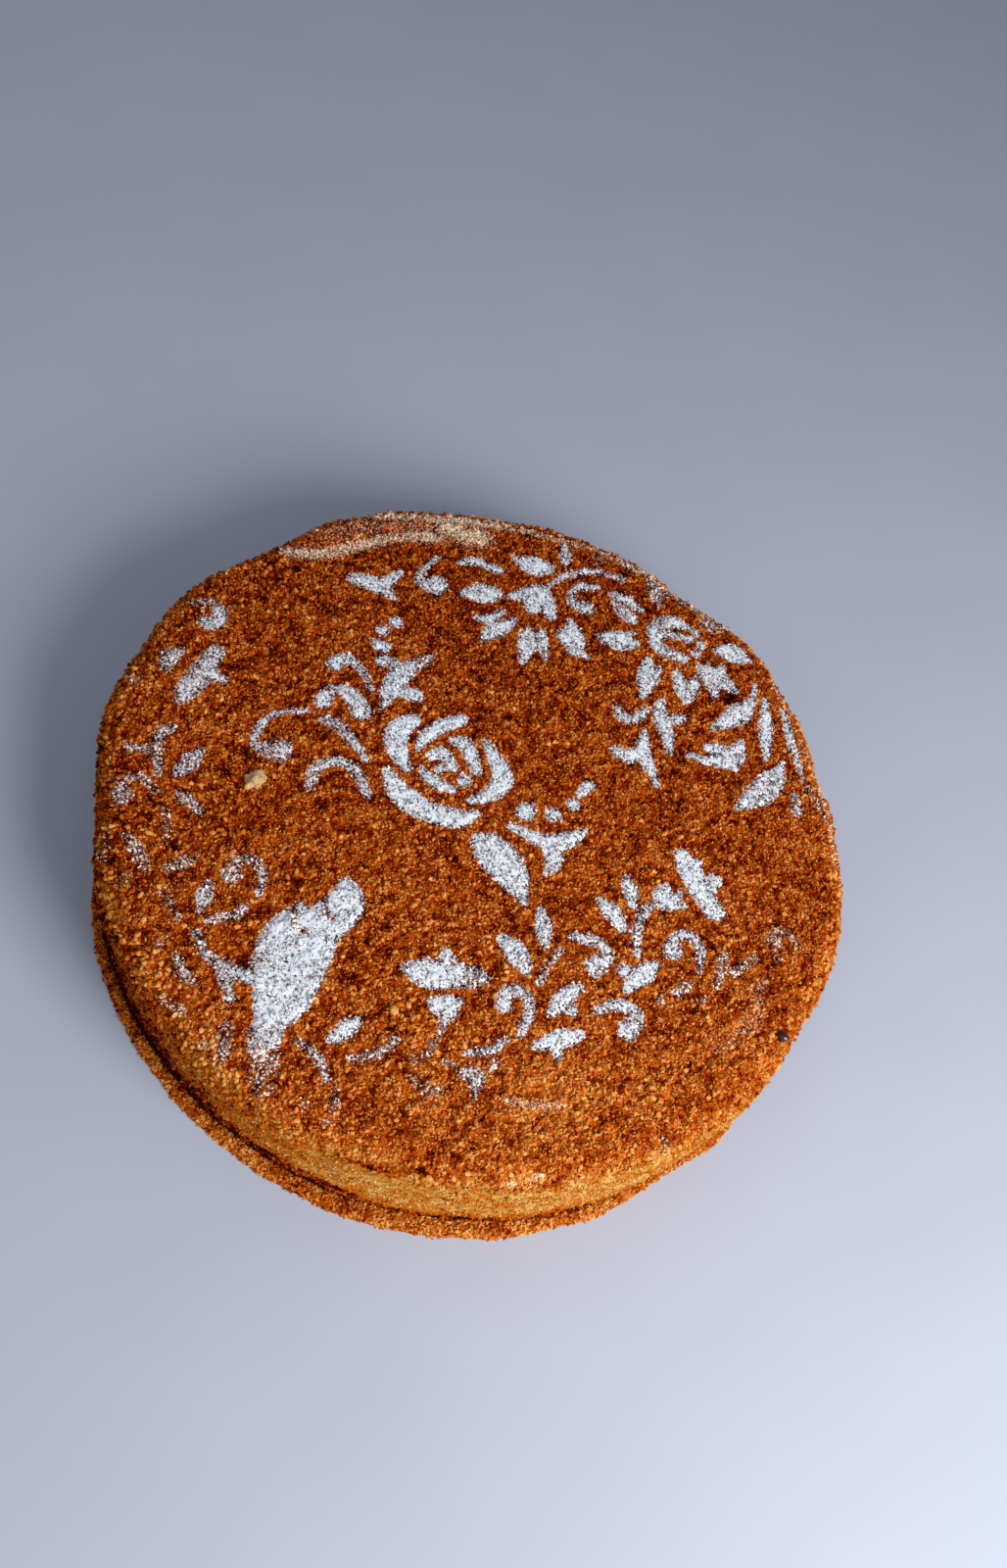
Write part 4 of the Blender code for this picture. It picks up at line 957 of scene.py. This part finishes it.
def scatter_tree():
    tree = bpy.data.node_groups.new("scattered_crumbs", "GeometryNodeTree")
    face = tree.interface
    face.new_socket(name="Geometry", in_out="INPUT", socket_type="NodeSocketGeometry")
    for name in ("Density", "Smallest", "Largest", "Lowest", "Highest", "Darkest", "Palest"):
        face.new_socket(name=name, in_out="INPUT", socket_type="NodeSocketFloat")
    for name, kind in (("Seed", "Int"), ("Shapes", "Collection"), ("Material", "Material")):
        face.new_socket(name=name, in_out="INPUT", socket_type="NodeSocket" + kind)
    face.new_socket(name="Geometry", in_out="OUTPUT", socket_type="NodeSocketGeometry")
    given = wire(tree, "NodeGroupInput").outputs
    share = wire(tree, "GeometryNodeInputNamedAttribute", {"Name": "share"}, data_type="FLOAT")
    density = calculate(tree, "MULTIPLY", given["Density"], share.outputs["Attribute"])
    scattered = wire(
        tree,
        "GeometryNodeDistributePointsOnFaces",
        {"Mesh": given["Geometry"], "Density": density, "Seed": given["Seed"]},
        distribute_method="RANDOM",
    )
    lift = random_value(tree, given["Lowest"], given["Highest"], given["Seed"])
    lifted = wire(
        tree,
        "ShaderNodeVectorMath",
        {0: scattered.outputs["Normal"], "Scale": lift},
        operation="SCALE",
    )
    moved = wire(
        tree,
        "GeometryNodeSetPosition",
        {"Geometry": scattered.outputs["Points"], "Offset": lifted.outputs[0]},
    )
    shapes = wire(
        tree,
        "GeometryNodeCollectionInfo",
        {"Collection": given["Shapes"], "Separate Children": True, "Reset Children": True},
    )
    turned = wire(
        tree,
        "FunctionNodeRandomValue",
        {1: (math.tau, math.tau, math.tau), "Seed": given["Seed"]},
        data_type="FLOAT_VECTOR",
    )
    sized = random_value(tree, given["Smallest"], given["Largest"], given["Seed"])
    placed = wire(
        tree,
        "GeometryNodeInstanceOnPoints",
        {
            "Points": moved.outputs["Geometry"],
            "Instance": shapes.outputs["Instances"],
            "Pick Instance": True,
            "Rotation": turned.outputs[0],
            "Scale": sized,
        },
    )
    other_seed = calculate(tree, "ADD", given["Seed"], 7.0)
    tone = random_value(tree, given["Darkest"], given["Palest"], other_seed)
    toned = wire(
        tree,
        "GeometryNodeStoreNamedAttribute",
        {"Geometry": placed.outputs["Instances"], "Name": "tone", "Value": tone},
        data_type="FLOAT",
        domain="INSTANCE",
    )
    real = wire(tree, "GeometryNodeRealizeInstances", {"Geometry": toned.outputs["Geometry"]})
    coloured = wire(
        tree,
        "GeometryNodeSetMaterial",
        {"Geometry": real.outputs["Geometry"], "Material": given["Material"]},
    )
    wire(tree, "NodeGroupOutput", {"Geometry": coloured.outputs["Geometry"]})
    return tree


scatter = scatter_tree()
print("scatter tree:", len(scatter.nodes), "nodes")

# %% Scattering one kind of crumb


def face_share(data, share):
    """The area of a mesh that is weighted by a number on its points."""
    data.calc_loop_triangles()
    corners = np.zeros(len(data.loop_triangles) * 3, np.int32)
    data.loop_triangles.foreach_get("vertices", corners)
    areas = np.zeros(len(data.loop_triangles), np.float32)
    data.loop_triangles.foreach_get("area", areas)
    return float((areas * share[corners.reshape(-1, 3)].mean(1)).sum())


def scattered(name, host, share, count, sizes, lift, seed, shapes, material, tones):
    """One kind of crumb over the host's surface, as a plain mesh that rides on the cake."""
    surface = host.data.copy()
    store(surface, "share", share)
    made = bpy.data.objects.new(name, surface)
    bpy.context.scene.collection.objects.link(made)
    modifier = made.modifiers.new("scatter", "NODES")
    modifier.node_group = scatter
    values = {
        "Density": count / face_share(surface, share),
        "Smallest": sizes[0],
        "Largest": sizes[1],
        "Lowest": lift[0],
        "Highest": lift[1],
        "Darkest": tones[0],
        "Palest": tones[1],
        "Seed": seed,
        "Shapes": shapes,
        "Material": material,
    }
    for item in scatter.interface.items_tree:
        if item.in_out == "INPUT" and item.name in values:
            modifier[item.identifier] = values[item.name]
    evaluated = made.evaluated_get(bpy.context.evaluated_depsgraph_get())
    plain = bpy.data.meshes.new_from_object(evaluated)
    made.modifiers.clear()
    made.data = plain
    bpy.data.meshes.remove(surface)
    plain.attributes.remove(plain.attributes["share"])
    corners = np.zeros(len(plain.vertices) * 3, np.float32)
    plain.vertices.foreach_get("co", corners)
    corners[2::3] = np.maximum(corners[2::3], 0)
    plain.vertices.foreach_set("co", corners)
    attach(made, "root")
    plain.calc_loop_triangles()
    print(name, len(plain.loop_triangles), "triangles")
    return made


# %% [markdown]
# ## The coat of crumbs
#
# Meal, honey crumbs and chips of crust cover the whole top, thinly where sugar lies. Coarse lumps
# gather at the front left, and more of them roughen the rim. A few small ones lie in the sugar, and
# the side has its own, pressed low. Together they hide the skin almost everywhere, and what is left
# of it between them is the dark of the pits, painted into the skin's darker colours as painted shade.
# %% Where each kind lies
on_top = 1 - between(tipped, 0.15, 0.85)
front_left = between(-(points[:, 0] * 0.55 + points[:, 1] * 0.83) / MM, -70, 110)
ragged_rim = between(patchy + 0.9 - 1.5 * pressed + 1.3 * unlit, -0.1, 0.5) * above_side
top_share = np.maximum(on_top, ragged_rim * 0.8)
off_base = (points[:, 2] > 0.5 * MM) * 1.0
side_share = between(tipped, 0.05, 0.5) * off_base
bare_share = top_share * (1 - 0.8 * under_sugar) * off_base


def crumb_kind(name, host, share, count, sizes, lift, seed, shapes, tones=(0.0, 1.0)):
    """Scatters one kind of crumb, with the honey crumb material."""
    made = scattered(name, host, share, count, sizes, lift, seed, shapes, crumb_look, tones)
    return made


MEAL, HONEY_LUMPS, CRUST_CHIPS = (0.55, 0.95), (0.6, 1.2), (0.95, 1.5)
CRUST_TONES = (0.0, 0.8)
TOP_COARSE = (1.2, 2.1)
TOP_LIFT = (-0.1 * MM, 0.55 * MM)
coarse_share = bare_share * (0.35 + 0.65 * front_left)
RIM_LIFT = (0.1 * MM, 0.75 * MM)
SUGAR_LIFT = (-0.2 * MM, 0.1 * MM)
SIDE_LIFT = (-0.1 * MM, 0.24 * MM)
rough_edge = between(tipped, 0.02, 0.15) * (1 - between(tipped, 0.6, 0.95))
rough_edge = rough_edge * (0.15 + between(unlit, 0.1, 0.4))
# Name, where, how many, sizes in mm, lift off the skin, seed and shapes
for name, share, count, sizes, lift, seed, shapes in (
    ("honey_crumbs", bare_share, 32700, HONEY_LUMPS, TOP_LIFT, 11, fine_shapes),
    ("small_crumbs", bare_share, 48000, MEAL, TOP_LIFT, 12, meal_shapes),
    ("broken_crumbs", bare_share, 23500, CRUST_CHIPS, TOP_LIFT, 13, chip_shapes),
    ("coarse_crumbs", coarse_share, 4000, TOP_COARSE, TOP_LIFT, 21, coarse_shapes),
    ("rim_crumbs", rough_edge, 2000, (1.2, 2.2), RIM_LIFT, 23, coarse_shapes),
    ("sugared_crumbs", under_sugar, 7000, (0.6, 1.3), SUGAR_LIFT, 25, fine_shapes),
    ("side_crumbs", side_share, 26000, (0.6, 1.25), SIDE_LIFT, 31, fine_shapes),
):
    tones = CRUST_TONES if shapes is chip_shapes else (0.0, 1.0)
    crumb_kind(name, coat, share, count, sizes, lift, seed, shapes, tones)

# %% [markdown]
# ## Four lumps that catch the eye
#
# A pale piece of cake, a small tan chip, a glossy bead of dark honey at the rim and a crumb that
# juts out beside it. They are big enough to be seen one by one, so each is a lump of its own: a
# fine ball, pushed about by noise, partly sunk into the crumbs.
# %% Lumps


def big_lump(name, place, size, uneven, seed, material, flat=0.8):
    """An uneven ball with its middle at a place measured from the drum's centre."""
    shape = bmesh.new()
    bmesh.ops.create_icosphere(shape, subdivisions=4, radius=size / 2)
    shift = Vector((seed * 3.7, seed * 1.3, 0))
    for corner in shape.verts:
        wave = noise.noise(corner.co / (size * 0.45) + shift)
        wave += 0.4 * noise.noise(corner.co / (size * 0.16) + shift)
        corner.co *= 1 + uneven * wave
    shape.transform(Matrix.Diagonal((1, 0.82, flat, 1)))
    shape.transform(Euler((0.3 * seed, 0.2 * seed, seed)).to_matrix().to_4x4())
    shape.transform(Matrix.Translation(Vector(place) + Vector(CENTRE)))
    data = bpy.data.meshes.new(name)
    shape.to_mesh(data)
    shape.free()
    data.shade_smooth()
    data.materials.append(material)
    made = put(name, data)
    print(name, "at", [round(value / MM, 1) for value in place])
    return made


def dough_material(name, dark, pale, roughness):
    made, tree, shader = new_material(name)
    fine = speckle(tree, 0.9 * MM, 3.0, 0.6)
    tree.links.new(mixed(tree, eased(tree, fine, 0.3, 0.7), dark, pale), shader.inputs["Base Color"])
    shader.inputs["Roughness"].default_value = roughness
    bumpy = wire(tree, "ShaderNodeBump", {"Strength": 0.8, "Distance": 0.25 * MM, "Height": fine})
    tree.links.new(bumpy.outputs["Normal"], shader.inputs["Normal"])
    return made


def on_surface(x, y, lift):
    """A place on the crumbs, given in mm from the drum's centre."""
    height = top_height(np.array([x * MM]), np.array([y * MM]))[0]
    return (x * MM, y * MM, height + lift * MM)


cream_dough = dough_material("pale dough", (0.44, 0.24, 0.09, 1), (0.62, 0.42, 0.21, 1), 0.85)
tan_dough = dough_material("tan dough", (0.48, 0.16, 0.03, 1), (0.78, 0.40, 0.14, 1), 0.7)
honey_bead = dough_material("burnt honey", (0.02, 0.002, 0.001, 1), (0.06, 0.008, 0.002, 1), 0.08)
BEAD_TURN, BEAD_REACH = -19.4, 127.0
LEDGE_TURN, LEDGE_REACH = -21.7, 131.0
bead_x, bead_y = planar(BEAD_TURN, BEAD_REACH)
ledge_x, ledge_y = planar(LEDGE_TURN, LEDGE_REACH)
for name, place, size, uneven, seed, material in (
    ("pale_chunk", on_surface(-74.7, -31.8, 0.5), 7.4 * MM, 0.55, 1, cream_dough),
    ("tan_chip", on_surface(-2.0, -87.0, 0.8), 3.4 * MM, 0.25, 2, tan_dough),
    ("honey_bead", on_surface(bead_x, bead_y, 1.5), 4.7 * MM, 0.06, 3, honey_bead),
    ("ledge_crumb", (ledge_x * MM, ledge_y * MM, 36.3 * MM), 6.5 * MM, 0.35, 4, tan_dough),
):
    made = big_lump(name, place, size, uneven, seed, material)

# %% [markdown]
# ## The ring round the foot
#
# Crumbs that didn't stick lie in a low bank against the foot of the cake. The bank is a swept ring
# whose height and width wander, with loose crumbs scattered over it.
# %% Foot bank
RING_HEIGHT = 1.9 * MM
FOOT_CRUMB_REACH = 0.7 * MM
# The bank's section from the cake outwards: share of its width, share of its height
RING_SECTION = (
    (0.0, 0.0), (0.0, 0.75), (0.18, 0.92), (0.36, 1.0),
    (0.6, 0.86), (0.82, 0.55), (0.95, 0.25), (1.0, 0.0),
)
foot_angle = loop_angle
inner = np.maximum(side_radius(foot_angle, 0), side_radius(foot_angle, FOOT_HEIGHT)) + RING_GAP
outer = ring_radius(foot_angle) - FOOT_CRUMB_REACH
x, y = planar(foot_angle, CAKE_RADIUS)
crest = RING_HEIGHT * (1 + 0.3 * rough(np.stack([x, y, x * 0], -1), 4.5 * MM))
bank_rings = []
for place, height in RING_SECTION:
    x, y = planar(foot_angle, inner + (outer - inner) * place)
    bump = rough(np.stack([x, y, x * 0 + height], -1), 1.7 * MM) * 0.3 * MM * (0 < height)
    bank_rings.append(np.stack([x, y, crest * height + bump], -1) + CENTRE)
bank_points = np.concatenate(bank_rings)
bank_loops = [step * AROUND + np.arange(AROUND) for step in range(len(RING_SECTION))]
bank_faces = []
for upper, lower in zip(bank_loops, bank_loops[1:] + bank_loops[:1]):
    bank_faces += np.stack([upper, lower, np.roll(lower, -1), np.roll(upper, -1)], -1).tolist()
bank_material = crumb_material("bank of crumbs", BED_AND_PIT_SHADE_STOPS, SIDE_STOPS)
bank_data = mesh_from("foot_bank", bank_points, bank_faces, bank_material)
# The bank is painted lighter towards the window lamp and darker away from it, painted light and shade, with
# darker clumps of crumbs on top.
bank_sun = ((bank_points - CENTRE) @ SUNWARD) / CAKE_RADIUS
bank_clumps = between(rough(bank_points, 5 * MM), 0.1, 0.45)
bank_tone_and_shade = 0.2 * bank_sun - 0.05 - 0.22 * bank_clumps
bare = np.ones(len(bank_points))
for name, value in (("cavity", 0.6), ("sugar_depth", -3), ("upright", 0.3)):
    store(bank_data, name, value * bare)
store(bank_data, "tint_and_shade", bank_tone_and_shade)
bank = put("foot_bank", bank_data)
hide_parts("foot_crumbs")
on_bank = (bank_points[:, 2] > 0.4 * MM) * 1.0
FOOT_LIFT = (-0.1 * MM, 0.3 * MM)
crumb_kind("foot_loose", bank, on_bank, 10500, (0.8, 1.9), FOOT_LIFT, 41, fine_shapes)

# %% [markdown]
# ## The floor
#
# A plain pale sheet, far larger than the view, so that only the soft shadow tells where it is. It
# has two close tones in a faint mottle, and what else is seen on it comes from the lights.
# %% Floor
FLOOR_PALE = (0.40, 0.43, 0.51, 1)
FLOOR_DEEP = (0.37, 0.40, 0.48, 1)
floor_data = bpy.data.meshes.new("floor")
FLOOR_HALF = 3.0
floor_data.from_pydata(
    [(x * FLOOR_HALF, y * FLOOR_HALF, 0) for x, y in ((-1, -1), (1, -1), (1, 1), (-1, 1))], [], [(0, 1, 2, 3)]
)
floor = bpy.data.objects.new("floor", floor_data)
bpy.context.scene.collection.objects.link(floor)
floor_material, floor_tree, floor_shader = new_material("pale sheet")
floor_mottle = mixed(floor_tree, speckle(floor_tree, 60 * MM), FLOOR_DEEP, FLOOR_PALE)
floor_tree.links.new(floor_mottle, floor_shader.inputs["Base Color"])
floor_shader.inputs["Roughness"].default_value = 0.6
floor_data.materials.append(floor_material)
floor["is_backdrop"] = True

for home in (coarse_shapes, fine_shapes, meal_shapes, chip_shapes):
    for thing in list(home.objects):
        bpy.data.objects.remove(thing, do_unlink=True)
    bpy.data.collections.remove(home)
NEW_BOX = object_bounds()
sizes = {"cad": [list(corner) for corner in CAD_BOX], "visual": [list(corner) for corner in NEW_BOX]}
print(sizes)
